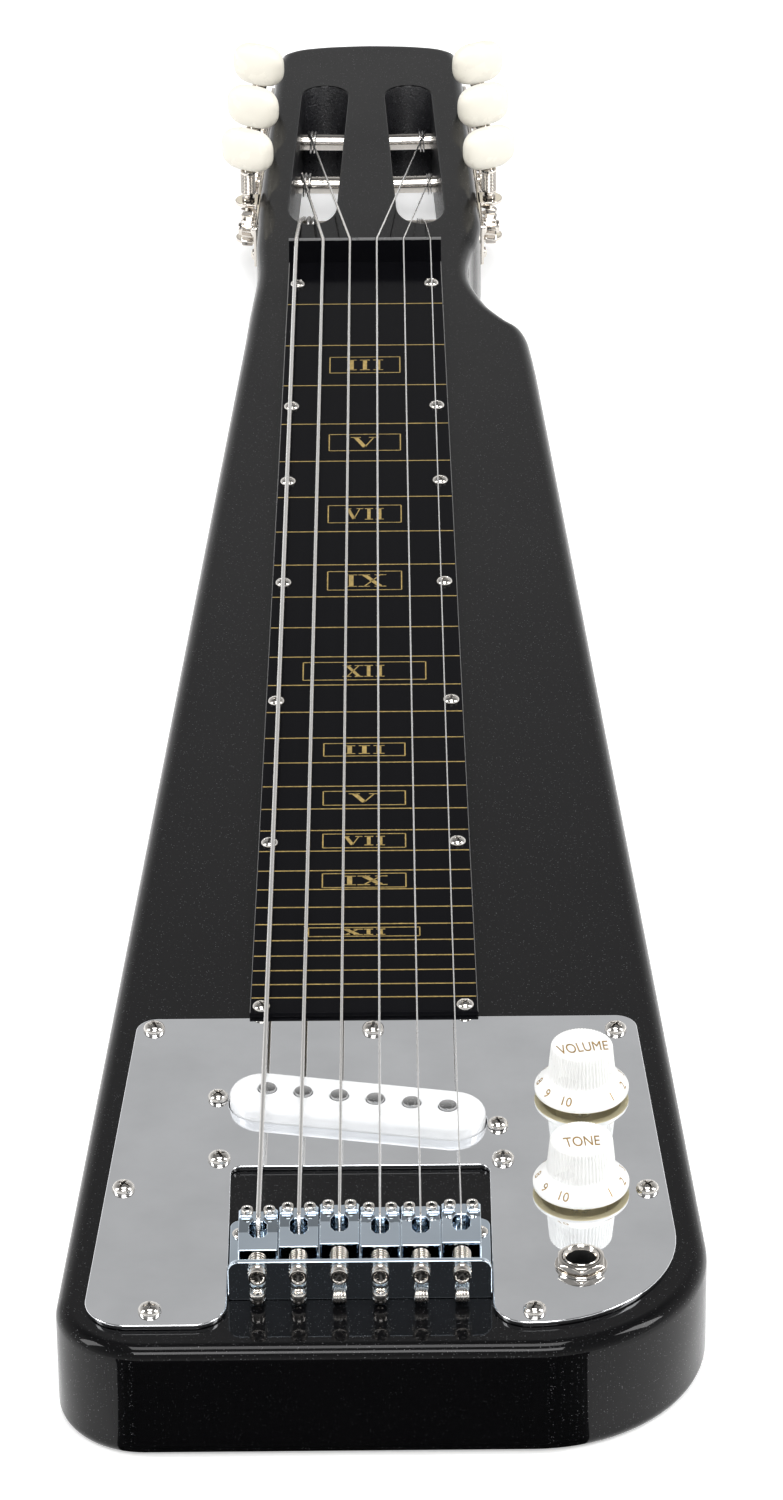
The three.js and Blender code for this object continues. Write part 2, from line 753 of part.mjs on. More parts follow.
// Saddle with two ears, a string opening and two height screws that stand on the floor
function makeSaddle(i) {
  const x = saddleX(i);
  const y = saddleY(i);
  const half = (saddleSpacing - gap) / 2;
  const low = bodyTop + saddleLift;
  const high = low + saddleHeight;
  const back = y - saddleOpening - saddleTail;
  const block = box(x - half, x + half, back, y + earLength, low, high);
  const ears = box(x - half, x + half, y, y + earLength, low, high + earRise);
  const width = saddleOpeningWidth / 2;
  const opening = prism([
    new THREE.Vector2(x - width, y - saddleOpening * 3 / 4),
    new THREE.Vector2(x - width / 2, y - saddleOpening),
    new THREE.Vector2(x + width / 2, y - saddleOpening),
    new THREE.Vector2(x + width, y - saddleOpening * 3 / 4),
    new THREE.Vector2(x + width, y - saddleOpening / 4),
    new THREE.Vector2(x + stringGroove / 2, y),
    new THREE.Vector2(x - stringGroove / 2, y),
    new THREE.Vector2(x - width, y - saddleOpening / 4),
  ], low - overrun, high + earRise + overrun);
  const groove = box(
    x - stringGroove / 2, x + stringGroove / 2, y - overrun, y + earLength + overrun,
    stringHeight - stringRadius(i) - gap, high + earRise + overrun,
  );
  const screwHole = rodY(
    intonationDiameter + 2 * gap, back - overrun, back + intonationBite + gap,
    x, bodyTop + intonationHeight, 8,
  );
  const screws = [-1, 1].map((side) => rod(
    heightScrewDiameter, bodyTop + seat + bridgeFloor + gap, high + heightScrewRise,
    x + side * heightScrewSpacing / 2, y + earLength / 2, 8,
  ));
  const saddle = cut(join(block, ears), opening, groove, screwHole);
  add(`saddle_${stringNames[i]}`, join(saddle, ...screws), mirrorChrome);
}

// Intonation screw through the wall into the saddle, and the spring that it carries
function makeIntonation(i) {
  const x = saddleX(i);
  const z = bodyTop + intonationHeight;
  const back = saddleY(i) - saddleOpening - saddleTail;
  const face = -bridgeEnd - seat;
  const screw = join(
    rodY(intonationDiameter, face - intonationHeadLength / 2, back + intonationBite, x, z, 8),
    rodY(intonationHead, face - intonationHeadLength, face, x, z, 12),
  );
  add(`intonation_screw_${stringNames[i]}`, screw, nickel);

  const wallFace = -bridgeEnd + bridgeWall;
  const start = wallFace + gap;
  const end = back - gap;
  const coil = end - start - 2 * springWire;
  const steps = Math.floor(coil / (springWire + springSpace)) * coilSteps;
  const path = [];
  for (let step = 0; step <= steps; step++) {
    const angle = 2 * Math.PI * step / coilSteps;
    path.push(new THREE.Vector3(
      x + Math.cos(angle) * springDiameter / 2,
      start + springWire + coil * step / steps,
      z + Math.sin(angle) * springDiameter / 2,
    ));
  }
  path.unshift(path[0].clone().setY(start));
  path.push(path.at(-1).clone().setY(end));
  console.log(`spring ${stringNames[i]} space ${leastSpace(path, springWire, coilSteps - 2).toFixed(2)} mm`);
  add(`spring_${stringNames[i]}`, solid(tube(path, springWire / 2, coilSides)), steel);
}

// Tuner row: a plate along the head's side with two lugs for each worm
function makeTunerPlate(side) {
  const out = tunerSides[side];
  const group = tunerGroups[side];
  const face = gap;
  const lugY = gearPitchRadius + wormPitchRadius;
  const spanX = (from, to) => [out * from, out * to].sort((a, b) => a - b);
  const plate = box(
    ...spanX(face, face + tunerPlateThickness),
    lugY - tunerPlateLength / 2, lugY + tunerPlateLength / 2,
    -tunerPlateHeight / 2, tunerPlateHeight / 2,
  );
  const lugEnd = keyOffset + lugReach - lugWidth / 2;
  const lugs = [];
  const holes = [];
  for (const row of [-1, 0, 1]) {
    const y = row * postSpacing;
    holes.push(rodX(postDiameter + 2 * gap, ...spanX(0, face + tunerPlateThickness + overrun), y, 0, 12));
    for (const level of [-1, 1]) {
      const z = level * (tunerPlateHeight - lugThickness) / 2;
      lugs.push(
        box(
          ...spanX(face, lugEnd), y + lugY - lugWidth / 2, y + lugY + lugWidth / 2,
          z - lugThickness / 2, z + lugThickness / 2,
        ),
        rod(lugWidth, z - lugThickness / 2, z + lugThickness / 2, out * lugEnd, y + lugY, 10),
      );
      holes.push(rod(
        2 * (wormPitchRadius - toothDedendum + gap), z - lugThickness, z + lugThickness,
        out * keyOffset, y + lugY, 8,
      ));
    }
  }
  add(`tuner_plate_${side}`, cut(join(plate, ...lugs), ...holes), nickel, group);
}

// Post: a roller across the slot with its gear outside the plate, in mesh with the worm
function makePost(i) {
  const { side, out, y } = tunerOf(i);
  const pitch = 2 * Math.PI * gearPitchRadius / gearTeeth;
  const halfTooth = (pitch / 2 - toothPlay) / 2;
  const lead = Math.atan(pitch / (2 * Math.PI * wormPitchRadius));
  const levels = [
    [gearPitchRadius - toothDedendum, halfTooth + toothDedendum * toothSlope],
    [gearPitchRadius + toothAddendum, halfTooth - toothAddendum * toothSlope],
  ];
  const ring = (x) => {
    const twist = x * Math.tan(lead) / gearPitchRadius;
    const points = [];
    for (let tooth = 0; tooth < gearTeeth; tooth++) {
      const centre = 2 * Math.PI * (tooth + 1 / 2) / gearTeeth + twist;
      const corners = [[0, -1], [1, -1], [1, 1], [0, 1]];
      for (const [level, flank] of corners) {
        const [radius, halfWidth] = levels[level];
        const angle = centre + flank * halfWidth / radius;
        points.push(new THREE.Vector3(
          out * keyOffset + x, y + Math.cos(angle) * radius, Math.sin(angle) * radius,
        ));
      }
    }
    return points;
  };
  const gear = solid(loft([ring(-gearWidth / 2), ring(gearWidth / 2)]));
  const inner = slotShift - out * (slotInset + slotWidth / 2 + postSocket);
  const outer = out * (keyOffset + gearWidth / 2);
  const span = (from, to) => [from, to].sort((a, b) => a - b);
  const roller = rodX(postDiameter, ...span(inner, out * keyOffset), y, 0, 12);
  const screwEnd = outer + out * gearScrewRise;
  const head = rodX(gearScrewDiameter, ...span(out * keyOffset, screwEnd), y, 0, 10);
  add(`tuner_post_${stringNames[i]}`, join(gear, roller, head), nickel, tunerGroups[side]);
}

// Key: a worm between the lugs, a neck, a collar, and a moulded button on the stem
function makeKey(i) {
  const { side, out, y } = tunerOf(i);
  const group = tunerGroups[side];
  const x = out * keyOffset;
  const axisY = y + gearPitchRadius + wormPitchRadius;
  const pitch = 2 * Math.PI * gearPitchRadius / gearTeeth;
  const root = wormPitchRadius - toothDedendum;
  const tip = wormPitchRadius + toothAddendum;
  const halfTooth = (pitch / 2 - toothPlay) / 2;
  const sunk = root * Math.cos(Math.PI / coilSteps) - gap / 2;
  const section = [
    [sunk, -halfTooth - (wormPitchRadius - sunk) * toothSlope],
    [tip, -halfTooth + toothAddendum * toothSlope],
    [tip, halfTooth - toothAddendum * toothSlope],
    [sunk, halfTooth + (wormPitchRadius - sunk) * toothSlope],
  ];
  const rings = [];
  for (let step = 0; step <= wormTurns * coilSteps; step++) {
    const turn = step / coilSteps - wormTurns / 2;
    const angle = 2 * Math.PI * turn - Math.PI / 2;
    rings.push(section.map(([radius, z]) => (
      new THREE.Vector3(Math.cos(angle) * radius, Math.sin(angle) * radius, z + turn * pitch)
    )).reverse());
  }
  const thread = solid(loft(rings).translate(x, axisY, 0));
  const lugTop = tunerPlateHeight / 2;
  const neckTop = lugTop + gap + keyNeckHeight;
  const collarTop = neckTop + collarHeight;
  const key = join(
    thread,
    rod(2 * root, -lugTop - lugThickness, lugTop + keyNeckHeight, x, axisY, coilSteps),
    rod(keyNeckDiameter, lugTop + gap, neckTop, x, axisY, 8),
    rod(collarDiameter, neckTop - gap, collarTop, x, axisY, 12),
    rod(stemDiameter, collarTop - gap, collarTop + stemHeight, x, axisY, 6),
  );
  add(`worm_shaft_${stringNames[i]}`, key, nickel, group);

  const low = collarTop + seat;
  const button = new THREE.SphereGeometry(1, 12, 8);
  const place = button.attributes.position;
  for (let k = 0; k < place.count; k++) {
    const square = (value, power) => Math.sign(value) * Math.abs(value) ** power;
    place.setXYZ(
      k,
      square(place.getX(k), 0.7) * buttonWidth / 2,
      square(place.getZ(k), 0.8) * buttonDepth / 2,
      square(place.getY(k), 0.75) * buttonHeight / 2,
    );
  }
  button.index.array.reverse();
  button.rotateZ(out * (buttonTurn - headTaper));
  const shell = solid(button.translate(x, axisY, low + buttonHeight / 2));
  const hole = rod(stemDiameter + 2 * gap, low - overrun, collarTop + stemHeight + gap, x, axisY, 8);
  const flat = box(
    x - buttonWidth, x + buttonWidth, axisY - buttonWidth, axisY + buttonWidth,
    low - buttonHeight, low + gap,
  );
  add(`button_${stringNames[i]}`, cut(shell, hole, flat), cream, group);
}

// String: ball end, through the wall and up over its saddle, over the nut, and round its post
function makeString(i) {
  const radius = stringRadius(i);
  const { side, out, y, windOffset } = tunerOf(i);
  const matrix = tunerGroups[side].matrixWorld;
  const x = saddleX(i);
  const anchor = bodyTop + anchorHeight;
  const wallFace = -bridgeEnd + bridgeWall;
  const breakY = saddleY(i) - radius;
  const underY = saddleY(i) - saddleOpening * 3 / 4;
  const path = [
    new THREE.Vector3(x, -bridgeEnd - ballDiameter / 2, anchor),
    new THREE.Vector3(x, wallFace + radius, anchor),
    new THREE.Vector3(x, underY, bodyTop + saddleLift - radius - gap),
    new THREE.Vector3(x, breakY, stringHeight),
    new THREE.Vector3(nutX(i), nutThickness / 2, nutHeight),
  ];
  const wind = postDiameter / 2 + gap + radius;
  const firstX = slotShift - out * (slotInset - windOffset);
  const meet = new THREE.Vector3(firstX, y, 0).applyMatrix4(matrix);
  const slotEnd = (slotWidth - Math.sqrt(slotWidth ** 2 - (2 * windOffset) ** 2)) / 2;
  const edge = new THREE.Vector3(firstX, slotNear - postRun + slotEnd, radius + gap + bodyTop - postZ);
  edge.applyMatrix4(matrix);
  const postTop = postZ + wind;
  const passing = nutHeight + (postTop - nutHeight) * (edge.y - nutThickness) / (meet.y - nutThickness);
  if (passing < edge.z) path.push(edge); // the nearest posts' strings bend over the slot's edge
  const from = path.at(-1);
  const run = new THREE.Vector2(from.y - meet.y, from.z - postZ);
  const lift = Math.atan2(run.y, run.x) - Math.acos(wind / run.length());
  const pitch = 2 * radius + turnSpace;
  for (let step = 0; step <= windTurns * windSteps; step++) {
    const angle = lift - 2 * Math.PI * step / windSteps;
    path.push(new THREE.Vector3(
      firstX - out * pitch * step / windSteps,
      y + Math.cos(angle) * wind,
      Math.sin(angle) * wind,
    ).applyMatrix4(matrix));
  }
  const turns = path.slice(-windTurns * windSteps - 1);
  console.log(`string ${stringNames[i]} space ${leastSpace(turns, 2 * radius, windSteps - 2).toFixed(2)} mm`);
  const ball = rod(
    ballDiameter, anchor - ballLength / 2, anchor + ballLength / 2, x, -bridgeEnd - ballDiameter / 2 - seat, 8,
  );
  add(`string_${stringNames[i]}`, join(solid(tube(path, radius, coilSides)), ball), steel);
}

makeBody();
makeFretboard();
makeNut();
makeControlPlate();
makePickup();
controls.forEach(makeControl);
makeJack();
makeBridge();
stringNames.forEach((_, i) => {
  makeSaddle(i);
  makeIntonation(i);
  makePost(i);
  makeKey(i);
  makeString(i);
});
makeTunerPlate('bass');
makeTunerPlate('treble');

// The part's origin: the middle of its underside
const group = new THREE.Group();
group.add(model);
const bounds = new THREE.Box3().setFromObject(group);
const middle = bounds.getCenter(new THREE.Vector3());
model.position.set(-middle.x, -middle.y, -bounds.min.z);

export default group;
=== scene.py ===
import math

import bmesh
import bpy
import numpy as np
from mathutils import Matrix, Vector
from mathutils.geometry import tessellate_polygon


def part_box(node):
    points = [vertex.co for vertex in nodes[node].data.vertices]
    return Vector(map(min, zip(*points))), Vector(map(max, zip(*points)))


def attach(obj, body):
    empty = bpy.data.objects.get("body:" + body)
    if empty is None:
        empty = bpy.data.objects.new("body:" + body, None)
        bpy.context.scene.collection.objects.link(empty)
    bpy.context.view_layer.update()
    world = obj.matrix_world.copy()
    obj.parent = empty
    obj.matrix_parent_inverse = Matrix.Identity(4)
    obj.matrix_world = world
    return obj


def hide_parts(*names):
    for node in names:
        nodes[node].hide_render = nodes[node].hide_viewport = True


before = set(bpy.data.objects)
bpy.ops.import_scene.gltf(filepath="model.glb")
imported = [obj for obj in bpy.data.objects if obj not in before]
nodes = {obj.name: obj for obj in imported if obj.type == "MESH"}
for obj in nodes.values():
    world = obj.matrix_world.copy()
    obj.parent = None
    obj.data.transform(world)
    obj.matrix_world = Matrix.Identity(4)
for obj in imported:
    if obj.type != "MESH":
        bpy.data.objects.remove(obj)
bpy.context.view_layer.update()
print("frame loaded:", len(nodes), "nodes")

# Shapes are worked out in millimetres from the string line at the nut, on the fretboard's top
mm = 0.001
nutLow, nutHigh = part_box("nut")
nutPoint = np.array([(nutLow.x + nutHigh.x) / 2, nutLow.y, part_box("fretboard")[1].z])


def toRow(points):  # millimetres at the nut to metres in the row frame
    return nutPoint + np.asarray(points, float) * mm


def reach(node, corner, axis=2):  # a CAD node's lowest (0) or highest (1) value along an axis
    return (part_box(node)[corner][axis] - nutPoint[axis]) / mm


bodyLow, bodyTop = reach("body", 0), reach("body", 1)
plateLow, plateTop = reach("control_plate", 0), reach("control_plate", 1)
stringNames = ["low_e", "a", "d", "g", "b", "high_e"]
stringDiameters = [1.32, 1.07, 0.81, 0.61, 0.46, 0.36]
stringHeight = 9.4  # string centres at the saddles
nutHeight = 7.9  # and at the nut
clearance = 0.3
wholeTurn = 2 * math.pi


# Points and faces: every solid is a pair, points in millimetres and lists of point numbers
def gridFaces(rows, columns):  # quads between rows of points, round the columns
    r, c = np.mgrid[0 : rows - 1, 0:columns]
    n = (c + 1) % columns
    quads = [r * columns + c, r * columns + n, (r + 1) * columns + n, (r + 1) * columns + c]
    return np.stack(quads, -1).reshape(-1, 4).tolist()


def skin(rings):  # closed skin over rings of points, with a flat face at each end
    rings = np.asarray(rings, float)
    rows, columns = rings.shape[:2]
    ends = [list(range(columns))[::-1], list(range((rows - 1) * columns, rows * columns))]
    return rings.reshape(-1, 3), gridFaces(rows, columns) + ends


def hoop(rings):  # skin over rings whose last one joins the first, as round a washer
    rows, columns = rings.shape[:2]
    faces = np.array(gridFaces(rows + 1, columns)) % (rows * columns)
    return rings.reshape(-1, 3), faces.tolist()


def joined(solids):  # several solids as one, their point numbers counted on
    points, faces, start = [], [], 0
    for solidPoints, solidFaces in solids:
        points.append(solidPoints)
        faces += [[k + start for k in face] for face in solidFaces]
        start += len(solidPoints)
    return np.concatenate(points), faces


def placed(solid, spot=(0, 0, 0), turn=np.eye(3)):  # turned, then moved to its spot
    return solid[0] @ np.asarray(turn, float).T + np.asarray(spot, float), solid[1]


def axes(x, y, z):  # a turn whose columns are the local axes
    return np.array([x, y, z], float).T


def aboutZ(angle):  # a turn anticlockwise, seen from above
    c, s = math.cos(angle), math.sin(angle)
    return np.array([[c, -s, 0], [s, c, 0], [0, 0, 1]])


def outwards(side):  # local +Z points away from the middle of the head
    return axes((0, 1, 0), (0, 0, 1), (side, 0, 0))


alongY = axes((1, 0, 0), (0, 0, 1), (0, -1, 0))  # local +Z points at the player's end


def fullTurn(count):  # angles evenly round a circle
    return np.linspace(0, wholeTurn, count, endpoint=False)


def lifted(flat, heights):  # rows of flat outlines, each row at its height
    heights = np.broadcast_to(np.reshape(heights, (-1, 1, 1)), flat.shape[:2] + (1,))
    return np.concatenate([flat, heights], -1)


def lathe(profile, around=48):  # radius and height carried round the upright axis
    profile, angle = np.asarray(profile, float), fullTurn(around)
    return lifted(profile[:, 0, None, None] * np.stack([np.cos(angle), np.sin(angle)], -1), profile[:, 1])


def turned(profile, around=48):  # its profile starts and ends on the axis
    return skin(lathe(profile, around))


def turnedRing(profile, around=48):  # its profile closes on itself
    return hoop(lathe(profile, around))


def rodProfile(radius, low, high):  # a plain cylinder, when turned
    return [(0, low), (radius, low), (radius, high), (0, high)]


def rounded(corners, closed=True, steps=10):  # each corner is x, y and the radius of its arc
    outline = []
    for i, (x, y, radius) in enumerate(corners):
        here = np.array([x, y], float)
        if not radius or (not closed and i in (0, len(corners) - 1)):
            outline.append(here[None])
            continue
        back = np.array(corners[i - 1][:2]) - here
        on = np.array(corners[(i + 1) % len(corners)][:2]) - here
        back, on = back / np.linalg.norm(back), on / np.linalg.norm(on)
        half = math.acos(max(-1, min(1, back @ on))) / 2
        bisector = (back + on) / np.linalg.norm(back + on)
        centre = here + bisector * radius / math.sin(half)
        start = here + back * radius / math.tan(half) - centre
        end = here + on * radius / math.tan(half) - centre
        sweep = math.atan2(start[0] * end[1] - start[1] * end[0], start @ end)
        t = np.linspace(0, sweep, steps + 1)[:, None]
        outline.append(centre + np.cos(t) * start + np.sin(t) * np.array([-start[1], start[0]]))
    return np.concatenate(outline)


def panel(x0, y0, x1, y1, near, far=None, steps=10):  # rectangle with arcs of one radius at y0 and one at y1
    far = near if far is None else far
    return rounded([(x0, y0, near), (x1, y0, near), (x1, y1, far), (x0, y1, far)], steps=steps)


def stadium(length, width, steps=24):  # slot outline with round ends, along X
    t = np.linspace(-math.pi / 2, math.pi / 2, steps + 1)
    end = np.stack([np.cos(t), np.sin(t)], -1) * width / 2
    shift = np.array([(length - width) / 2, 0])
    return np.concatenate([end + shift, -end - shift])


def circle(diameter, x=0, y=0, around=48):
    t = fullTurn(around)
    return np.stack([x + np.cos(t) * diameter / 2, y + np.sin(t) * diameter / 2], -1)


def smoothCurve(points, pieces, steps=40):  # a spline through the points, cut into equal pieces
    points = np.asarray(points, float)
    before = np.vstack([points[:1], points[:-1]])
    after = np.vstack([points[1:], points[-1:]])
    slope = (after - before) / 2
    t = np.linspace(0, 1, steps, endpoint=False)[None, :, None]
    p, q, u, v = (a[:, None] for a in (points[:-1], points[1:], slope[:-1], slope[1:]))
    curve = (2 * p - 2 * q + u + v) * t**3 + (3 * q - 3 * p - 2 * u - v) * t**2 + u * t + p
    curve = np.vstack([curve.reshape(-1, points.shape[1]), points[-1:]])
    run = np.concatenate([[0], np.cumsum(np.linalg.norm(np.diff(curve, axis=0), axis=1))])
    at = np.linspace(0, run[-1], pieces + 1)
    return np.stack([np.interp(at, run, curve[:, k]) for k in range(points.shape[1])], -1)


def signedArea(loop):  # half the sum of cross products, positive for anticlockwise
    x, y = loop[:, 0], loop[:, 1]
    return (x * np.roll(y, -1) - y * np.roll(x, -1)).sum() / 2


def inward(loop, sharpest=0.3):  # mitred direction to the left of travel, where the material lies
    ahead = np.roll(loop, -1, 0) - loop
    ahead /= np.linalg.norm(ahead, axis=1)[:, None]
    left = np.stack([-ahead[:, 1], ahead[:, 0]], -1)
    before = np.roll(left, 1, 0)
    return (left + before) / (1 + (left * before).sum(1))[:, None].clip(sharpest)


flatRim = 0.06  # narrow flat ring inside each softened edge, which keeps the faces' shading flat


def edgeProfile(low, high, edge, steps):  # how far in, and how high, up a wall with two quarter rounds
    t = np.linspace(0, math.pi / 2, steps + 1)
    inset, height = edge * (1 - np.sin(t)), low + edge * (1 - np.cos(t))
    inset = np.concatenate([[edge + flatRim], inset, inset[::-1], [edge + flatRim]])
    return inset, np.concatenate([[low], height, (low + high - height)[::-1], [high]])


def slab(loops, low, high, edge=0.3, steps=4):
    # Flat solid over outlines, the first outside and the rest holes. A hole may have an edge of its own
    # and a second outline for its lower face, as (upper outline, lower outline, edge).
    walls, faces, lowCap, highCap, start = [], [], [], [], 0
    for i, loop in enumerate(loops):
        upper, lower, ownEdge = loop if isinstance(loop, tuple) else (loop, loop, edge)
        if (signedArea(upper) > 0) == (i > 0):
            upper, lower = upper[::-1], lower[::-1]
        inset, height = edgeProfile(low, high, ownEdge, steps)
        share = ((height - low) / (high - low))[:, None, None]
        wall = lifted(lower * (1 - share) + upper * share + inset[:, None, None] * inward(upper), height)
        rows, columns = wall.shape[:2]
        faces += [[k + start for k in face] for face in gridFaces(rows, columns)]
        lowCap.append((wall[0], start))
        highCap.append((wall[-1], start + (rows - 1) * columns))
        walls.append(wall.reshape(-1, 3))
        start += rows * columns
    for caps in (lowCap, highCap):
        number = np.concatenate([np.arange(len(ring)) + first for ring, first in caps])
        triangles = tessellate_polygon([[Vector(p) for p in ring] for ring, _ in caps])
        faces += [[int(number[k]) for k in triangle] for triangle in triangles]
    return np.concatenate(walls), faces


def swept(path, radius, sides):  # a circle carried along a path, turned as little as it can be
    tangent = np.gradient(path, axis=0)
    tangent /= np.linalg.norm(tangent, axis=1)[:, None]
    across, side = np.cross([0, 0, 1], tangent[0]), []
    for direction in tangent:
        across = across - direction * (across @ direction)
        across = across / np.linalg.norm(across)
        side.append(across)
    side = np.array(side)
    t = fullTurn(sides)[None, :, None]
    up = np.cross(tangent, side)[:, None]
    return skin(path[:, None] + radius * (np.cos(t) * side[:, None] + np.sin(t) * up))


def softPath(points, reachMm, most=0.45, steps=6):
    # Each bend becomes a short parabola that starts a reach, or most of a leg, before its corner
    points = np.asarray(points, float)
    path = [points[:1]]
    t = np.linspace(0, 1, steps)[:, None]
    for before, here, after in zip(points[:-2], points[1:-1], points[2:]):
        start = here + (before - here) * min(most, reachMm / np.linalg.norm(before - here))
        end = here + (after - here) * min(most, reachMm / np.linalg.norm(after - here))
        path.append(start * (1 - t) ** 2 + here * 2 * t * (1 - t) + end * t**2)
    return np.concatenate(path + [points[-1:]])


def linked(name, data):  # a new object in the scene
    made = bpy.data.objects.new(name, data)
    bpy.context.scene.collection.objects.link(made)
    return made


def meshOf(name, solid, weld=1e-6):  # points nearer than the weld become one, and faces look outwards
    mesh = bpy.data.meshes.new(name)
    mesh.from_pydata(toRow(solid[0]).tolist(), [], solid[1])
    shape = bmesh.new()
    shape.from_mesh(mesh)
    bmesh.ops.remove_doubles(shape, verts=shape.verts, dist=weld)
    bmesh.ops.recalc_face_normals(shape, faces=shape.faces)
    shape.to_mesh(mesh)
    shape.free()
    return mesh


def smoothShaded(mesh, sharpAngle=38):  # all but the edges that bend by more than the angle
    mesh.shade_smooth()
    mesh.set_sharp_from_angle(angle=math.radians(sharpAngle))


def makePiece(name, solid, finish, body="instrument", instead=(), sharpAngle=38):
    # A mesh with its finish rides on a body, and stands for CAD nodes
    piece = linked(name, meshOf(name, solid))
    smoothShaded(piece.data, sharpAngle)
    piece.data.materials.append(finish)
    if instead:
        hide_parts(*instead)
    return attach(piece, body)


def evaluatedMesh(thing):  # with its modifiers, or its letters, worked out
    return bpy.data.meshes.new_from_object(thing.evaluated_get(bpy.context.evaluated_depsgraph_get()))


def cutAway(piece, solids, finish=None):  # each cutter is taken out, and its walls get a finish
    for solid in solids:
        mesh = meshOf("cutter", solid)
        if finish:
            mesh.materials.append(finish)
        cutter = linked("cutter", mesh)
        modifier = piece.modifiers.new("cut", "BOOLEAN")
        modifier.operation = "DIFFERENCE"
        modifier.solver = "EXACT"
        modifier.object = cutter
        if finish:
            modifier.material_mode = "TRANSFER"
        result = evaluatedMesh(piece)
        piece.modifiers.clear()
        piece.data = result
        bpy.data.objects.remove(cutter)
    smoothShaded(piece.data)


def paintWhere(piece, finish, chosen):  # the finish goes on faces that a test of centres and normals picks
    mesh = piece.data
    if finish.name not in mesh.materials:
        mesh.materials.append(finish)

    def read(name, numbers):
        mesh.polygons.foreach_get(name, numbers)
        return numbers

    count = len(mesh.polygons)
    centre, normal = (read(name, np.empty(count * 3)).reshape(-1, 3) for name in ("center", "normal"))
    numbers = read("material_index", np.empty(count, np.int32))
    numbers[chosen((centre - nutPoint) / mm, normal)] = mesh.materials.find(finish.name)
    mesh.polygons.foreach_set("material_index", numbers)


# Finishes
def plug(value, socket):  # a constant, or another node's output, into a socket
    if isinstance(value, bpy.types.NodeSocket):
        socket.id_data.links.new(value, socket)
    else:
        socket.default_value = value


def addNode(tree, kind, inputs=(), **settings):  # a node with its settings, and its sockets filled
    made = tree.nodes.new("ShaderNode" + kind)
    for name, value in settings.items():
        setattr(made, name, value)
    for name, value in dict(inputs).items():
        plug(value, made.inputs[name])
    return made


def newFinish(name, color, roughness, metallic=0.0, **more):
    made = bpy.data.materials.new(name)
    made.use_nodes = True
    shader = made.node_tree.nodes["Principled BSDF"]
    values = {"Base Color": (*color, 1), "Roughness": roughness, "Metallic": metallic, "Coat Roughness": 0.02}
    for socket, value in (values | {key.replace("_", " "): value for key, value in more.items()}).items():
        plug(value, shader.inputs[socket])
    return made, made.node_tree, shader.inputs


def grain(tree, perMm, detail=3.0, stretch=(1, 1, 1), kind="TexNoise"):
    # A pattern over the piece's own coordinates, with so many features to a millimetre
    where = addNode(tree, "TexCoord").outputs["Object"]
    mapping = addNode(tree, "Mapping", {"Vector": where, "Scale": [s * perMm / mm for s in stretch]})
    pattern = addNode(tree, kind, {"Vector": mapping.outputs["Vector"], "Scale": 1.0})
    if kind == "TexNoise":
        plug(detail, pattern.inputs["Detail"])
    return pattern.outputs[0]


def between(tree, value, low, high, start=0.3, end=0.7, **settings):  # values spread from low to high
    limits = {"Value": value, "From Min": start, "From Max": end, "To Min": low, "To Max": high}
    return addNode(tree, "MapRange", limits, **settings).outputs["Result"]


def blended(tree, share, first, second):  # two colours mixed by a pattern
    inputs = {"A": (*first, 1), "B": (*second, 1), "Factor": share}
    return addNode(tree, "Mix", inputs, data_type="RGBA").outputs["Result"]


def arithmetic(tree, operation, *values):  # one step of arithmetic on two or three values
    return addNode(tree, "Math", dict(enumerate(values)), operation=operation).outputs[0]


def raised(tree, value, heightMm, strength):  # a pattern as fine relief
    inputs = {"Distance": heightMm * mm, "Strength": strength, "Height": value}
    return addNode(tree, "Bump", inputs).outputs["Normal"]


def lacquerFinish():  # black base with a few bright flakes under clear gloss, and faint polishing haze
    made, tree, inputs = newFinish("sparkleLacquer", (0.01, 0.01, 0.011), 0.42, 0.1, Coat_Weight=0.62,
                                   Coat_IOR=1.36, Specular_IOR_Level=0.03)
    spots = grain(tree, 2.6, kind="TexVoronoi")
    middle = between(tree, spots, 1, 0, 0.08, 0.34)
    lucky = between(tree, spots.node.outputs["Color"], 0, 1, 0.72, 0.92)
    flake = arithmetic(tree, "MULTIPLY", middle, lucky)
    plug(blended(tree, flake, (0.002, 0.002, 0.0024), (0.24, 0.24, 0.25)), inputs["Base Color"])
    plug(between(tree, grain(tree, 0.02, 4), 0.36, 0.48), inputs["Roughness"])
    return made


def paintFinish():  # brushed black paint inside the slots, rough and speckled
    made, tree, inputs = newFinish("slotPaint", (0.012, 0.012, 0.013), 0.35)
    lumps = grain(tree, 1.4, 5)
    specks = between(tree, grain(tree, 3.0, 2), 0, 1, 0.62, 0.7)
    plug(between(tree, lumps, 0.22, 0.5), inputs["Roughness"])
    plug(blended(tree, specks, (0.012, 0.012, 0.014), (0.12, 0.12, 0.13)), inputs["Base Color"])
    plug(raised(tree, lumps, 0.35, 0.8), inputs["Normal"])
    return made


def boardFinish():  # deep black sheet with hair scratches in its gloss
    made, tree, inputs = newFinish("boardGloss", (0.004, 0.004, 0.005), 0.12, Specular_IOR_Level=0.03)
    plug(between(tree, grain(tree, 0.5, 6, (6, 0.2, 1)), 0.08, 0.2), inputs["Roughness"])
    return made


def mottled(tree, inputs, pattern, color, shade):  # a faint darker tone of the colour, by a pattern
    darker = tuple(c * shade for c in color)
    plug(blended(tree, pattern, darker, color), inputs["Base Color"])


def metalFinish(name, color, roughness, haze, perMm, stretch=(1, 1, 1), reliefMm=0.0):
    # Plated or drawn metal: its polish, and a faint tone in it, vary with a pattern
    made, tree, inputs = newFinish(name, color, roughness, 1.0)
    pattern = grain(tree, perMm, 4, stretch)
    plug(between(tree, pattern, max(0.01, roughness - haze), roughness + haze), inputs["Roughness"])
    mottled(tree, inputs, between(tree, pattern, 0, 1), color, 0.9)
    if reliefMm:
        plug(raised(tree, pattern, reliefMm, 0.5), inputs["Normal"])
    return made


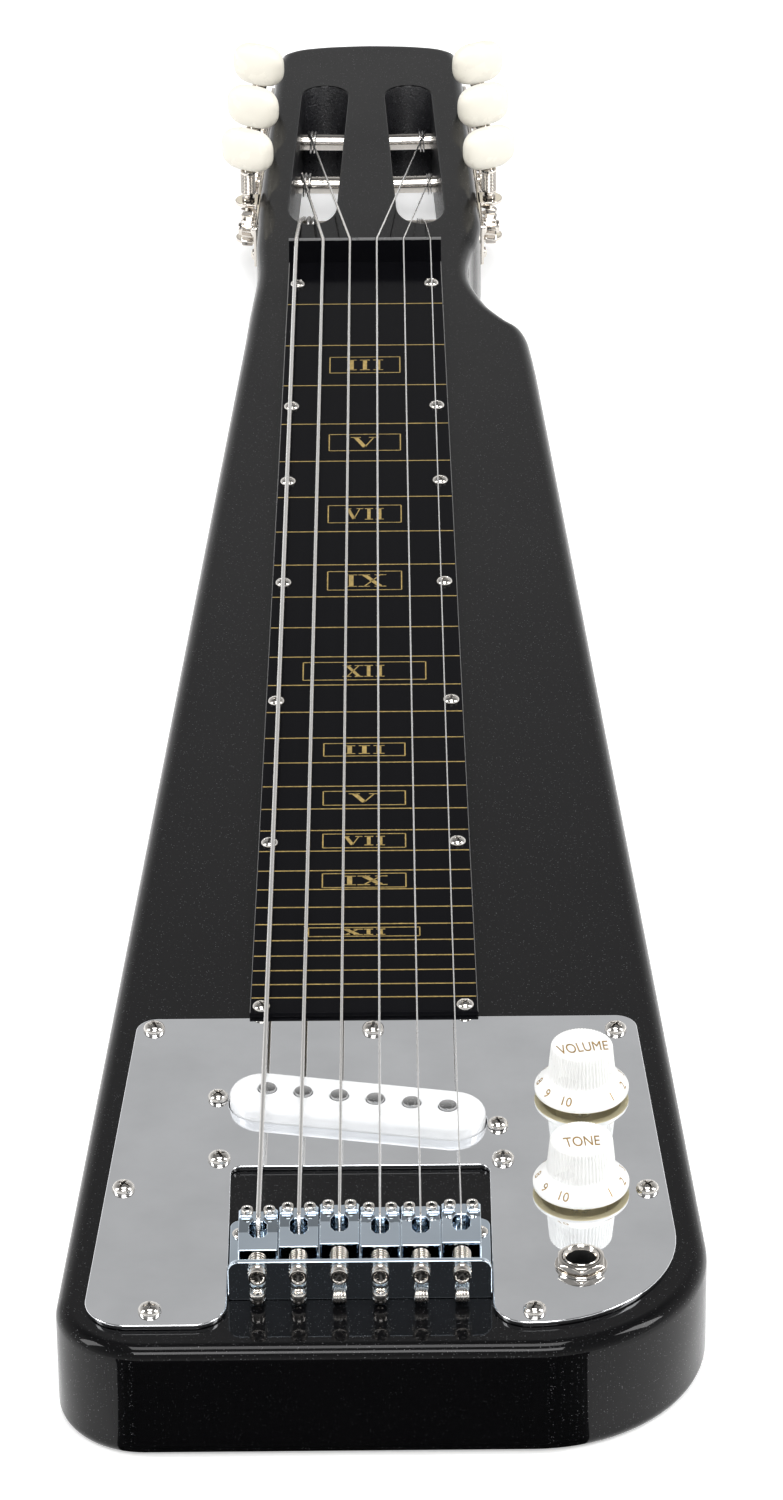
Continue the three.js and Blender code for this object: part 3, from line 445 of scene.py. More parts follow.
def plasticFinish(name, color, roughness, reliefMm=0.01, shade=0.97, spread=0.15):
    # Moulded plastic: even colour with a slight mottle, and the mould's faint orange peel
    made, tree, inputs = newFinish(name, color, roughness)
    pattern = grain(tree, 0.15, 3)
    mottled(tree, inputs, between(tree, pattern, 0, 1), color, shade)
    plug(between(tree, pattern, roughness * (1 - spread), roughness * (1 + spread)), inputs["Roughness"])
    plug(raised(tree, grain(tree, 1.5, 2), reliefMm, 0.4), inputs["Normal"])
    return made


def woundFinish(windingMm=0.32, waveShare=20):  # fine windings, as a wave node turns by 20 times its scale
    made, tree, inputs = newFinish("woundWire", (0.93, 0.92, 0.9), 0.3, 1.0)
    where = addNode(tree, "TexCoord").outputs["Object"]
    perMetre = wholeTurn / (windingMm * mm) / waveShare
    bands = addNode(tree, "TexWave", {"Scale": perMetre, "Vector": where}, bands_direction="Y").outputs["Fac"]
    share = between(tree, bands, 0, 1, 0, 1)
    plug(between(tree, bands, 0.3, 0.2, 0, 1), inputs["Roughness"])
    # Painted shade and highlight: the colour is darker in the grooves between windings and lighter on their
    # crests
    plug(blended(tree, share, (0.72, 0.7, 0.68), (0.86, 0.85, 0.83)), inputs["Base Color"])
    plug(raised(tree, bands, 0.02, 0.3), inputs["Normal"])
    return made


def inkFinish(name, color, metallic):  # gold print, thin in places
    made, tree, inputs = newFinish(name, color, 0.38, metallic)
    worn = between(tree, grain(tree, 0.8, 4), 0, 1)
    mottled(tree, inputs, worn, color, 0.6)
    plug(between(tree, worn, 0.28, 0.5, 0, 1), inputs["Roughness"])
    return made


lacquer, slotPaint, boardGloss, woundWire = lacquerFinish(), paintFinish(), boardFinish(), woundFinish()
# Metals: colour, roughness, how far the roughness varies, and the pattern's features to a millimetre
bridgeChrome = metalFinish("bridgeChrome", (0.72, 0.82, 0.92), 0.04, 0.02, 0.05)
mirrorChrome = metalFinish("mirrorChrome", (0.94, 0.955, 0.98), 0.03, 0.02, 0.05)
nickelPlate = metalFinish("nickelPlate", (0.72, 0.68, 0.63), 0.12, 0.05, 0.6, reliefMm=0.01)
brightNickel = metalFinish("brightNickel", (0.78, 0.75, 0.71), 0.12, 0.05, 0.6)
poleSteel = metalFinish("poleSteel", (0.5, 0.5, 0.5), 0.22, 0.06, 2.0, reliefMm=0.01)
drawnWire = metalFinish("drawnWire", (0.93, 0.92, 0.91), 0.26, 0.05, 1.0, (1, 0.05, 1))
springWire = metalFinish("springWire", (0.7, 0.66, 0.6), 0.12, 0.06, 1.5)
zincCan = metalFinish("zincCan", (0.55, 0.55, 0.56), 0.4, 0.08, 0.5, reliefMm=0.02)
recessShade = metalFinish("recessShade", (0.13, 0.125, 0.12), 0.35, 0.1, 2.0)
# Plastics: colour, roughness, the height of their orange peel and the mottle's shade
knobWhite = plasticFinish("knobWhite", (0.88, 0.88, 0.86), 0.3)
# Painted shade: the knobs' undersides get a warm, yellowed tone for the shade and the warm light under the
# skirt
knobUndersideWarmShade = plasticFinish("knobUndersideWarmShade", (0.88, 0.78, 0.5), 0.5)
coverWhite = plasticFinish("coverWhite", (0.84, 0.85, 0.86), 0.22)
buttonCream = plasticFinish("buttonCream", (0.93, 0.89, 0.78), 0.26, 0.015, 0.95)
# Black bobbin plastic, also used as painted shade down the jack's bore
bobbinBlackAndBoreShade = plasticFinish("bobbinBlackAndBoreShade", (0.012, 0.012, 0.012), 0.5, 0.03, 0.8)
# Painted highlight: a grey line along the softened edges of the fretboard and the nut
boardEdgeHighlight = plasticFinish("boardEdgeHighlight", (0.12, 0.12, 0.12), 0.3)
# Inks: colour and share of metal
goldInk = inkFinish("goldInk", (0.78, 0.56, 0.19), 0.7)
dialInk = inkFinish("dialInk", (0.4, 0.24, 0.05), 0.3)
print("finishes made")

# Screw heads stand on the plane z = 0. A cross's sizes are shares of the head's radius, and its depth and
# the dome's rim and bevel are shares of the head's height.
crossSizes = dict(armHalf=0.085, armSlope=0.045, armEnd=0.58, endSlope=0.1, depth=0.6, middle=1.1)
domeSizes = dict(rim=0.12, crown=2.6, steep=0.5, foot=0.96, bevel=0.06)


def smoothStep(value, start, end):  # from 0 to 1 with level ends: 3 t squared less 2 t cubed
    t = np.clip((value - start) / (end - start), 0, 1)
    return t * t * (3 - 2 * t)


def crossedTop(share, around, radius, surface, depth, armHalf, armEnd):
    # Rings over a head's face: the surface's height, less a cross that is deepest in the middle
    c, angle = crossSizes, fullTurn(around)[None]
    x, y = share * np.cos(angle), share * np.sin(angle)
    near, far = np.minimum(abs(x), abs(y)), np.maximum(abs(x), abs(y))
    arm = np.clip((armHalf + c["armSlope"] - near) / c["armSlope"], 0, 1)
    arm *= np.clip((armEnd - far) / c["endSlope"], 0, 1)
    return np.stack([x * radius, y * radius, surface - arm * depth * (c["middle"] - far)], -1)[::-1]


def crossTest(places, radius, armHalf, armEnd, low, high=math.inf):
    # Picks the faces within the arms of crosses, each at a spot and a turn, between two heights
    spots, turns = (np.array(part) for part in zip(*places))

    def inCross(centre, normal):
        local = np.einsum("fnk,nkj->fnj", centre[:, None] - spots, turns)
        flat, height = abs(local[..., :2]) / radius, local[..., 2]
        return ((flat.min(-1) < armHalf) & (flat.max(-1) < armEnd) & (height > low) & (height < high)).any(1)

    return inCross


def crossHead(diameter, height, shankDiameter=0.0, shankLength=0.0, rings=26, around=96):
    # A dome that steepens to the rim, with a cross in it
    c, d, radius, shank = crossSizes, domeSizes, diameter / 2, shankDiameter / 2
    share = np.sin(np.linspace(0, math.pi / 2, rings))[:, None]
    dome = height * (d["rim"] + (1 - d["rim"]) * (1 - share ** d["crown"]).clip(0) ** d["steep"])
    top = crossedTop(share, around, radius, dome, height * c["depth"], c["armHalf"], c["armEnd"])
    start = [(0, -shankLength), (shank, -shankLength), (shank, 0)] if shankLength else [(0, 0)]
    foot = lathe(start + [(radius * d["foot"], 0), (radius, height * d["bevel"])], around)
    return skin(np.concatenate([foot, top]))


def screwPiece(name, places, diameter, height, finish=brightNickel, shank=(0.0, 0.0)):
    # Heads at places, each a spot and a turn, as one piece whose crossed recesses are painted dark
    head, c, radius = crossHead(diameter, height, *shank), crossSizes, diameter / 2
    piece = makePiece(name, joined([placed(head, spot, turn) for spot, turn in places]), finish)
    test = crossTest(places, radius, c["armHalf"] + 0.02, c["armEnd"] - 0.05, 0.05 * radius, height)
    paintWhere(piece, recessShade, test)


# Body: a slab with rounded edges, two slots through the head and the cavity under the plate
bodySizes = dict(
    edge=4.0, tailRun=620.0, headRun=185.2, headCentre=1.1, headHalf=38.0, headSideStart=48.0,
    headSideEnd=162.0, headTaper=math.radians(2.35), shoulderRun=74.0, bassTail=81.0, trebleTail=92.5,
    bassCorner=23.0, trebleCorner=46.0, slotInset=19.5, slotShift=-0.7, slotWidth=16.4, slotNear=36.0,
    slotFar=148.5, slotRamp=10.0, slotNearRound=13.5, slotEdge=0.5, postRun=96.0, postSpacing=35.3,
    postDrop=14.0, boreRadius=3.3, boreDepth=5.9,
)
cavitySizes = dict(
    wellClear=2.5, wellDepth=14.5, pocketHalf=11.0, pocketFloor=3.5, channelHalf=9.0, channelDepth=12.0,
    edge=0.1,
)
# Outline points as shares of the head's half width, and of the run to the head's side or the shoulder
trebleWaistShares = [
    (1.0, 1.0), (1.01, 0.8), (0.976, 0.56), (0.922, 0.38), (0.888, 0.15), (0.894, -0.045), (0.945, -0.176),
    (1.057, -0.348), (1.214, -0.488), (1.319, -0.561), (1.38, -0.664), (1.414, -0.81), (1.446, -1.0),
]
bassWaistShares = [
    (-1.073, -0.66), (-1.036, -0.36), (-0.999, -0.12), (-0.987, 0.04), (-0.993, 0.24), (-1.004, 0.5),
    (-1.0, 0.8), (-1.0, 1.0),
]
headEndShares = [
    (0.866, 0.915), (0.841, 0.943), (0.807, 0.962), (0.666, 0.982), (0.45, 0.993), (0.22, 0.998), (0, 1),
]
pickupSizes = dict(
    x=-1.7, run=513.0, slant=math.radians(-10.8), length=69.6, width=18.4, above=4.5, below=6.0, round=2.4,
    wall=1.2, poleSpacing=9.85, poleDiameter=4.85, poleAbove=0.8, poleClear=0.22, screwSpacing=76.4,
    earDiameter=8.0, coilDepth=12.0, coilInset=3.0, baseWidth=9.2,
)
controlPlaces = {"volume": (58.6, -505.0), "tone": (57.2, -550.0)}
jackPlace = (56.2, -585.3)


def headSide(side, y):  # the head's side tapers evenly from its start
    s = bodySizes
    return s["headCentre"] + side * (s["headHalf"] - (y - s["headSideStart"]) * math.tan(s["headTaper"]))


def waistPoints(shares):  # shares to millimetres, with one run ahead of the nut and another behind it
    s, (across, along) = bodySizes, np.array(shares).T
    run = np.where(along > 0, s["headSideStart"], s["shoulderRun"])
    return np.stack([s["headCentre"] + across * s["headHalf"], along * run], -1)


trebleShoulder, bassShoulder = waistPoints(trebleWaistShares)[-1], waistPoints(bassWaistShares)[0]


def tailSide(side, y):  # the straight side's X at a distance from the nut
    s = bodySizes
    shoulder, corner = (trebleShoulder, s["trebleTail"]) if side > 0 else (bassShoulder, -s["bassTail"])
    return corner + (shoulder[0] - corner) * (y + s["tailRun"]) / (shoulder[1] + s["tailRun"])


def headEnd(side):  # half of the head's end, from its side to the middle
    s = bodySizes
    ends = [(headSide(side, s["headSideEnd"]), s["headSideEnd"])]
    ends += [(s["headCentre"] + side * x * s["headHalf"], y * s["headRun"]) for x, y in headEndShares]
    return smoothCurve(ends, 44)


def bodyOutline():  # anticlockwise, as straight runs, arcs and splines
    s = bodySizes
    tail = rounded([
        (*trebleShoulder, 0), (*bassShoulder, 0), (-s["bassTail"], -s["tailRun"], s["bassCorner"]),
        (s["trebleTail"], -s["tailRun"], s["trebleCorner"]),
    ], steps=24)[2:]
    treble, bass = waistPoints(trebleWaistShares), waistPoints(bassWaistShares)
    ends = headEnd(1), headEnd(-1)[::-1][1:]
    return np.concatenate([tail, smoothCurve(treble, 70)[::-1], *ends, smoothCurve(bass, 36)[::-1]])


def tunerFrame(side):  # spot and turn of a row of tuners: X outwards from the head's side, Z at the post axes
    s = bodySizes
    spot = np.array([headSide(side, s["postRun"]), s["postRun"], bodyTop - s["postDrop"]])
    return spot, aboutZ(side * s["headTaper"])


def slotLoop(side, drop):  # outline of a slot, with its far end drawn in by drop and its near end squarer
    s = bodySizes
    near, far, half = s["slotNear"] - s["postRun"], s["slotFar"] - s["postRun"] - drop, s["slotWidth"] / 2
    along, across = stadium(far - near, s["slotWidth"]).T
    fromNear = along + (far - near) / 2
    along = along + np.clip(fromNear, 0, half) / half * (s["slotNearRound"] - half) * (fromNear < half + 0.01)
    spot, turn = tunerFrame(side)
    x = s["slotShift"] - side * s["slotInset"] - across
    return (np.stack([x, (far + near) / 2 + along, 0 * x], -1) @ turn.T + spot)[:, :2]


def onPickup(points):  # from the pickup's own frame to the plate
    p = pickupSizes
    return np.asarray(points, float) @ aboutZ(p["slant"])[:2, :2].T + [p["x"], -p["run"]]


def pickupScrewSpots():  # one at each end of the pickup
    half = pickupSizes["screwSpacing"] / 2
    return onPickup([(-half, 0), (half, 0)])


def makeBody():
    s, c, p = bodySizes, cavitySizes, pickupSizes
    slots = [(slotLoop(side, 0), slotLoop(side, s["slotRamp"]), s["slotEdge"]) for side in (-1, 1)]
    body = makePiece("bodyShell", slab([bodyOutline(), *slots], bodyLow, bodyTop, s["edge"], 10), lacquer,
                     instead=["body"])
    (volumeX, volumeY), (jackX, jackY), half = controlPlaces["volume"], jackPlace, c["pocketHalf"]
    middle, clear, channelHalf = (volumeX + jackX) / 2, 2 * c["wellClear"], c["channelHalf"]
    openings = [
        (onPickup(stadium(p["screwSpacing"] + p["earDiameter"] + clear, p["width"] + clear)),
         plateLow - c["wellDepth"]),
        (panel(middle - half, jackY - half, middle + half, volumeY + half, half / 2),
         bodyLow + c["pocketFloor"]),
        (panel(p["x"], -p["run"] - channelHalf, middle, -p["run"] + channelHalf, 1),
         plateLow - c["channelDepth"]),
    ]
    cutters = [slab([loop], low, bodyTop + 1, c["edge"]) for loop, low in openings]
    bore = turned(rodProfile(s["boreRadius"], -1, s["slotInset"] + s["slotWidth"] / 2 + s["boreDepth"]), 32)
    for side in (-1, 1):
        for row in (-1, 0, 1):
            local = placed(bore, (0, row * s["postSpacing"], 0), outwards(-side))
            cutters.append(placed(local, *tunerFrame(side)))
    cutAway(body, cutters, slotPaint)
    for loop, *_ in slots:
        low, high = [*loop.min(0) - 0.1, bodyLow + 0.3], [*loop.max(0) + 0.1, bodyTop - 0.35]
        paintWhere(body, slotPaint, lambda centre, normal: ((centre > low) & (centre < high)).all(1))


makeBody()
print("body made")

# Fretboard: a thin sheet with printed lines and marks
boardSizes = dict(
    run=466.0, halfNut=25.6, halfTail=31.4, scale=572.0, frets=28, line=0.46, printLow=0.004, print=0.03,
    edge=0.35, stroke=0.36, screwShift=-0.2,
)
markPlaces = [
    # word, its frame's far and near Y, and its width
    ("III", -71.0, -82.2, 22.8), ("V", -125.3, -136.4, 22.7), ("VII", -173.2, -184.5, 22.8),
    ("IX", -216.0, -227.7, 22.7), ("XII", -272.4, -283.0, 36.7), ("III", -320.5, -327.8, 23.8),
    ("V", -347.9, -355.7, 23.8), ("VII", -371.8, -379.4, 23.7), ("IX", -393.5, -401.0, 23.7),
    ("XII", -422.4, -427.0, 31.2),
]
boardScrews = [  # Y, and X to each side
    (-17.4, 22.2), (-106.2, 23.4), (-157.4, 24.0), (-223.3, 24.7), (-295.8, 26.0), (-376.8, 26.9),
    (-463.2, 28.0),
]
letterSizes = dict(
    unit=5.9, thick=1.4, thin=0.42, serif=0.36, serifLength=3.4, gap=0.75, tallShare=0.62, wordWidth=12.2,
    singleWidth=8.6,
)
letterShapes = {  # strokes in a unit square, serifs' places, the width, and the serifs' length and rows
    "I": ([((0.32, 0), (0.32, 1), "thick")], [0.32], 0.64, 1, 2),
    "V": ([((0.2, 1), (0.62, 0.04), "thick"), ((1.04, 1), (0.62, 0.04), "thin")], [0.2, 1.04], 1.24, 0.8, 1),
    "X": ([((0.2, 1), (1.0, 0), "thick"), ((1.0, 1), (0.2, 0), "thin")], [0.2, 1.0], 1.2, 1, 2),
}


def ribbon(start, end, width):  # printed stroke between two points, square at its ends
    start, end = np.array(start, float), np.array(end, float)
    along = (end - start) / np.linalg.norm(end - start)
    across = np.array([-along[1], along[0]]) * width / 2
    flat = np.array([start - across, end - across, end + across, start + across])
    return skin(lifted(np.array([flat, flat]), [boardSizes["printLow"], boardSizes["print"]]))


def wordSolids(word, high, low, wide):  # a framed word, spread about the frame's middle
    letters, shapes = letterSizes, [letterShapes[letter] for letter in word]
    corners = [(-wide / 2, low), (wide / 2, low), (wide / 2, high), (-wide / 2, high)]
    solids = [ribbon(a, c, boardSizes["stroke"]) for a, c in zip(corners, corners[1:] + corners[:1])]
    tall = (high - low) * letters["tallShare"]
    base = (high + low) / 2 - tall / 2
    total = sum(shape[2] for shape in shapes) * letters["unit"] + letters["gap"] * (len(word) - 1)
    fit = letters["wordWidth" if len(word) > 1 else "singleWidth"] / total
    unit, x = letters["unit"] * fit, -total * fit / 2
    for strokes, feet, width, serif, rows in shapes:
        for (ax, ay), (bx, by), stroke in strokes:
            ends = (x + ax * unit, base + ay * tall), (x + bx * unit, base + by * tall)
            solids.append(ribbon(*ends, letters[stroke] * min(fit, 1)))
        half = letters["serifLength"] * fit / 2 * serif
        for foot in feet:
            for y in (base + tall, base)[:rows]:
                middle = x + foot * unit
                solids.append(ribbon((middle - half, y), (middle + half, y), letters["serif"]))
        x += (width * letters["unit"] + letters["gap"]) * fit
    return solids


def fretLine(n):  # each fret shortens the sounding length by the twelfth root of two
    b = boardSizes
    y = -b["scale"] * (1 - 2 ** (-n / 12))
    half = b["halfNut"] + (b["halfTail"] - b["halfNut"]) * -y / b["run"] - b["edge"]
    return ribbon((-half, y), (half, y), b["line"])


def makeFretboard():
    b = boardSizes
    tail, nut = (b["halfTail"], -b["run"]), (b["halfNut"], -clearance)
    outline = np.array([(-tail[0], tail[1]), tail, nut, (-nut[0], nut[1])])
    sheet = makePiece("fretboardSheet", slab([outline], reach("fretboard", 0), 0, b["edge"]), boardGloss,
                      instead=["fretboard"])
    # The sheet's side edges and its edge at the nut get the painted grey highlight
    paintWhere(sheet, boardEdgeHighlight, lambda centre, normal: (
        (centre[:, 2] > -b["edge"]) & (normal[:, 2] < 0.95) & (normal[:, 1] > -0.3)
    ))
    makePiece("fretLines", joined([fretLine(n) for n in range(1, b["frets"] + 1)]), goldInk)
    makePiece("positionMarks", joined([s for mark in markPlaces for s in wordSolids(*mark)]), goldInk)
    places = [((side * x + b["screwShift"], y, 0.0), aboutZ(0.5 * i + side))
              for i, (y, x) in enumerate(boardScrews) for side in (-1, 1)]
    screwPiece("fretboardScrews", places, diameter=5.0, height=1.5)


# Nut: a block with soft edges and a notch for each string
nutSizes = dict(shift=-0.5, spacing=9.0, thickness=2.0, edge=0.15, notchClear=0.12, notchLift=0.15)


def nutX(i):  # strings are evenly spaced at the nut
    return nutSizes["shift"] + (i - 2.5) * nutSizes["spacing"]


def makeNut():
    n, low, high, half = nutSizes, reach("nut", 0), reach("nut", 1), boardSizes["halfNut"]
    outline = [[(-half, low), (half, low), (half, high)]]
    for i in reversed(range(6)):
        x, radius = nutX(i), stringDiameters[i] / 2
        r, t = radius + n["notchClear"], np.linspace(0, math.pi, 9)
        bottom = np.stack([x + r * np.cos(t), nutHeight - radius + r - n["notchLift"] - r * np.sin(t)], -1)
        outline += [[(x + r, high)], bottom, [(x - r, high)]]
    outline = np.concatenate([*outline, [(-half, high)]])
    block = slab([outline], 0, n["thickness"], n["edge"], 3)
    nut = makePiece("nutBlock", placed(block, (0, n["thickness"], 0), alongY), boardGloss, instead=["nut"])
    # The nut's top edges get the painted grey highlight too
    paintWhere(nut, boardEdgeHighlight, lambda centre, normal: (centre[:, 2] > high - 0.2) & (normal[:, 2] > 0.3))


makeFretboard()
makeNut()
print("fretboard and nut made")

# Control plate: a sheet with a notch for the bridge, a window for the pickup and round holes
plateSizes = dict(
    margin=7.9, tailMargin=9.5, corner=6.0, legCorner=11.0, legInnerCorner=9.0, notchCorner=3.0,
    notchStart=538.6, edge=0.3, jackHole=10.0, shaftHole=7.6, screwHole=3.6,
)
plateScrews = [
    (-57.4, -471.6), (2.5, -472.6), (68.8, -473.6), (-38.3, -535.0), (36.9, -536.2), (-63.3, -548.6),
    (74.7, -550.8), (-54.8, -604.0), (43.8, -605.2),
]
bridgeSizes = dict(
    x=-0.9, width=67.8, start=563.6, end=597.6, floor=1.5, wall=1.6, wallHeight=11.8, corner=3.0,
    wallFoot=0.8, saddleSpacing=10.5, saddleRun=577.6, screwHeight=9.1, screwHole=3.2, anchorHeight=2.8,
    anchorClear=0.9,
)


def makeControlPlate():
    p, b, k, inset = plateSizes, bridgeSizes, pickupSizes, plateSizes["margin"]
    top, low = -boardSizes["run"] - clearance, -bodySizes["tailRun"] + p["tailMargin"]
    left, right = b["x"] - b["width"] / 2 - clearance, b["x"] + b["width"] / 2 + clearance
    outline = rounded([
        (tailSide(-1, top) + inset, top, p["corner"]), (tailSide(-1, low) + inset, low, p["legCorner"]),
        (left, low, p["legInnerCorner"]), (left, -p["notchStart"], p["notchCorner"]),
        (right, -p["notchStart"], p["notchCorner"]), (right, low, p["legInnerCorner"]),
        (tailSide(1, low) - inset, low, bodySizes["trebleCorner"] - inset),
        (tailSide(1, top) - inset, top, p["corner"]),
    ], steps=20)
    holes = [onPickup(stadium(k["length"] + 2 * clearance, k["width"] + 2 * clearance))]
    holes += [circle(p["jackHole"], *jackPlace)]
    holes += [circle(p["shaftHole"], *place) for place in controlPlaces.values()]
    holes += [circle(p["screwHole"], *place) for place in pickupScrewSpots()]
    makePiece("controlPlateChrome", slab([outline, *holes], plateLow, plateTop, p["edge"], 5), mirrorChrome,
              instead=["control_plate"])
    places = [((x, y, plateTop), aboutZ(0.3 + 1.1 * i)) for i, (x, y) in enumerate(plateScrews)]
    screwPiece("plateScrews", places, diameter=6.1, height=2.0)


makeControlPlate()
print("control plate made")


# Pickup: crowned cover with six holes, pole pieces, bobbin and height screws
def makePickup():
    k = pickupSizes
    top, low, lift, radius = plateTop + k["above"], plateLow - k["below"], k["round"], k["poleDiameter"] / 2
    outline, t = onPickup(stadium(k["length"], k["width"], 36)), np.linspace(0, math.pi / 2, 12)
    inset = np.concatenate([[0.0], lift * (1 - np.cos(t)), [lift + 1.5]])
    height = np.concatenate([[low], top - lift + lift * np.sin(t), [top]])
    crown = skin(lifted(outline + inset[:, None, None] * inward(outline), height))
    cover = makePiece("pickupCoverShell", crown, coverWhite, instead=["pickup_cover"])

    def atPoles(profile):
        spots = onPickup([((i - 2.5) * k["poleSpacing"], 0) for i in range(6)])
        return [placed(turned(profile), (x, y, 0)) for x, y in spots]

    hollow = onPickup(stadium(k["length"] - 2 * k["wall"], k["width"] - 2 * k["wall"]))
    holes = atPoles(rodProfile(radius + k["poleClear"], top - 2, top + 1))
    cutAway(cover, [*holes, slab([hollow], low - 1, top - k["wall"], 0.6)])
    end = top + k["poleAbove"]
    pole = [(0, low), (radius, low), (radius, end - 0.35), (radius - 0.1, end - 0.12), (radius - 0.4, end),
            (0, end)]
    makePiece("polePieces", joined(atPoles(pole)), poleSteel, instead=["pickup_coil"])
    foot = plateLow - k["coilDepth"]
    coil = onPickup(stadium(k["length"] - k["coilInset"], k["width"] - k["coilInset"]))
    base = onPickup(stadium(k["screwSpacing"] + k["earDiameter"], k["baseWidth"]))
    bobbin = joined([slab([coil], foot + 1, top - k["wall"] - clearance, 0.5), slab([base], foot - 2, foot)])
    makePiece("pickupBobbin", bobbin, bobbinBlackAndBoreShade)
    places = [((x, y, plateTop + 0.15), aboutZ(0.7 + x)) for x, y in pickupScrewSpots()]
    screwPiece("pickupScrews", places, diameter=5.6, height=1.9, shank=(2.9, 16))


makePickup()
print("pickup made")

# Knobs: a ribbed barrel on a conical skirt, with gold figures
knobSizes = dict(
    lift=1.75, height=14.0, skirt=25.4, rim=0.9, skirtHeight=4.8, barrel=17.9, barrelTop=16.5, flare=0.2,
    ribs=57, ribDepth=0.34, ribStart=5.3, ribEnd=13.9, recess=4.4, wall=2.0, figure=3.5, figureWidth=0.98,
    figureFoot=12.1, figureStep=math.radians(32.5), print=0.03, word=6.4, wordWidth=0.55, wordBend=60.0,
    wordRise=0.35, wordDrop=1.4,
    wordTurn={"volume": math.radians(10), "tone": math.radians(6)},
    dialTurn={"volume": math.radians(44), "tone": math.radians(41)},
)


def knobSolid():
    # Radius over height and angle: a turned outline, less narrow flutes that fade at both ends
    k = knobSizes
    rim, barrel, top, high = k["skirt"] / 2, k["barrel"] / 2, k["barrelTop"] / 2, k["height"]
    foot, wide, skirt = rim - k["wall"], barrel + k["flare"], k["skirtHeight"]
    outside = rounded([
        (rim - 0.05, 0, 0), (rim, 0.1, 0.05), (rim, k["rim"], 0.25), (wide, skirt, 0.5), (top, high, 0.75),
        (0, high, 0),
    ], closed=False, steps=6)
    rows = np.linspace(skirt + 0.5, high - 1.0, 16)
    profile = np.concatenate([
        [(0, k["recess"]), (barrel - k["wall"], k["recess"]), (foot, 0.2), (foot + 0.2, 0)],
        outside[outside[:, 1] < skirt + 0.45],
        np.column_stack([np.interp(rows, [skirt, high], [wide, top]), rows]),
        outside[outside[:, 1] > high - 0.95],
    ])
    around, start, end = k["ribs"] * 8, k["ribStart"], k["ribEnd"]
    rings, (radius, z) = lathe(profile, around), profile.T
    flute = (0.5 - 0.5 * np.cos(k["ribs"] * fullTurn(around))) ** 1.5
    fade = smoothStep(z, start - 0.4, start) * (1 - smoothStep(z, end - 0.3, end + 0.4))
    depth = (k["ribDepth"] * fade * (radius > barrel - 1.6))[:, None] * flute
    rings[..., :2] *= (1 - depth / np.maximum(radius, 0.01)[:, None])[..., None]
    return skin(rings)


def figureMesh(text, size):  # flat letters as points and faces, centred on their width, in millimetres
    curve = bpy.data.curves.new("figure", "FONT")
    curve.body, curve.size, curve.align_x, curve.extrude = text, size, "CENTER", 0.02
    holder = linked("figure", curve)
    mesh = evaluatedMesh(holder)
    points = np.empty(len(mesh.vertices) * 3)
    mesh.vertices.foreach_get("co", points)
    faces = [list(face.vertices) for face in mesh.polygons]
    bpy.data.objects.remove(holder)
    return points.reshape(-1, 3), faces


def knobFigures(name):
    k, solids, bend = knobSizes, [], knobSizes["wordBend"]
    rim, foot = k["skirt"] / 2, k["figureFoot"]
    slope = math.atan2(k["skirtHeight"] - k["rim"], rim - k["barrel"] / 2 - k["flare"])
    # Figures stand on the skirt with their feet outwards, and count anticlockwise round it
    for n in range(10):
        points, faces = figureMesh(str(n + 1), k["figure"])
        x, y, z = points.T
        radius = foot - y * math.cos(slope)
        turn = -math.pi / 2 + k["dialTurn"][name] + n * k["figureStep"] + x * k["figureWidth"] / (foot - 1)
        height = k["rim"] + (rim - radius) * math.tan(slope) + z + k["print"]
        solids.append((np.stack([radius * np.cos(turn), radius * np.sin(turn), height], -1), faces))
    # The word bends a little round the top
    points, faces = figureMesh(name.upper(), k["word"])
    x, y, z = points.T
    turn = math.pi / 2 - x * k["wordWidth"] / bend
    radius, height = bend + y - k["word"] * k["wordRise"], z + k["height"] + k["print"]
    flat = np.stack([radius * np.cos(turn), radius * np.sin(turn) - bend - k["wordDrop"], height], -1)
    return joined([*solids, (flat @ aboutZ(k["wordTurn"][name]).T, faces)])


for name, (x, y) in controlPlaces.items():
    spot, control = (x, y, plateTop + knobSizes["lift"]), f"{name}_control"
    knob = makePiece(f"{name}Knob", placed(knobSolid(), spot), knobWhite, control, [f"{name}_knob"],
                     sharpAngle=45)
    # Faces that look down get the painted warm shade of the knob's underside
    paintWhere(knob, knobUndersideWarmShade, lambda centre, normal: normal[:, 2] < -0.2)
    makePiece(f"{name}Figures", placed(knobFigures(name), spot), dialInk, control)
print("knobs made")

# Output jack: a bush with a bright cone round its bore, which is painted black as shade, a hexagonal nut and
# a washer
jackSizes = dict(
    rise=3.3, thread=4.75, pitch=0.5, ridge=0.25, bore=3.6, cone=4.3, coneDepth=0.9, body=6.0,
    bodyLength=23.0, collar=8.5, washer=6.8, washerThick=0.6, nut=11.9, nutThick=2.2, nutTop=5.7,
    nutSlope=1.4,
)


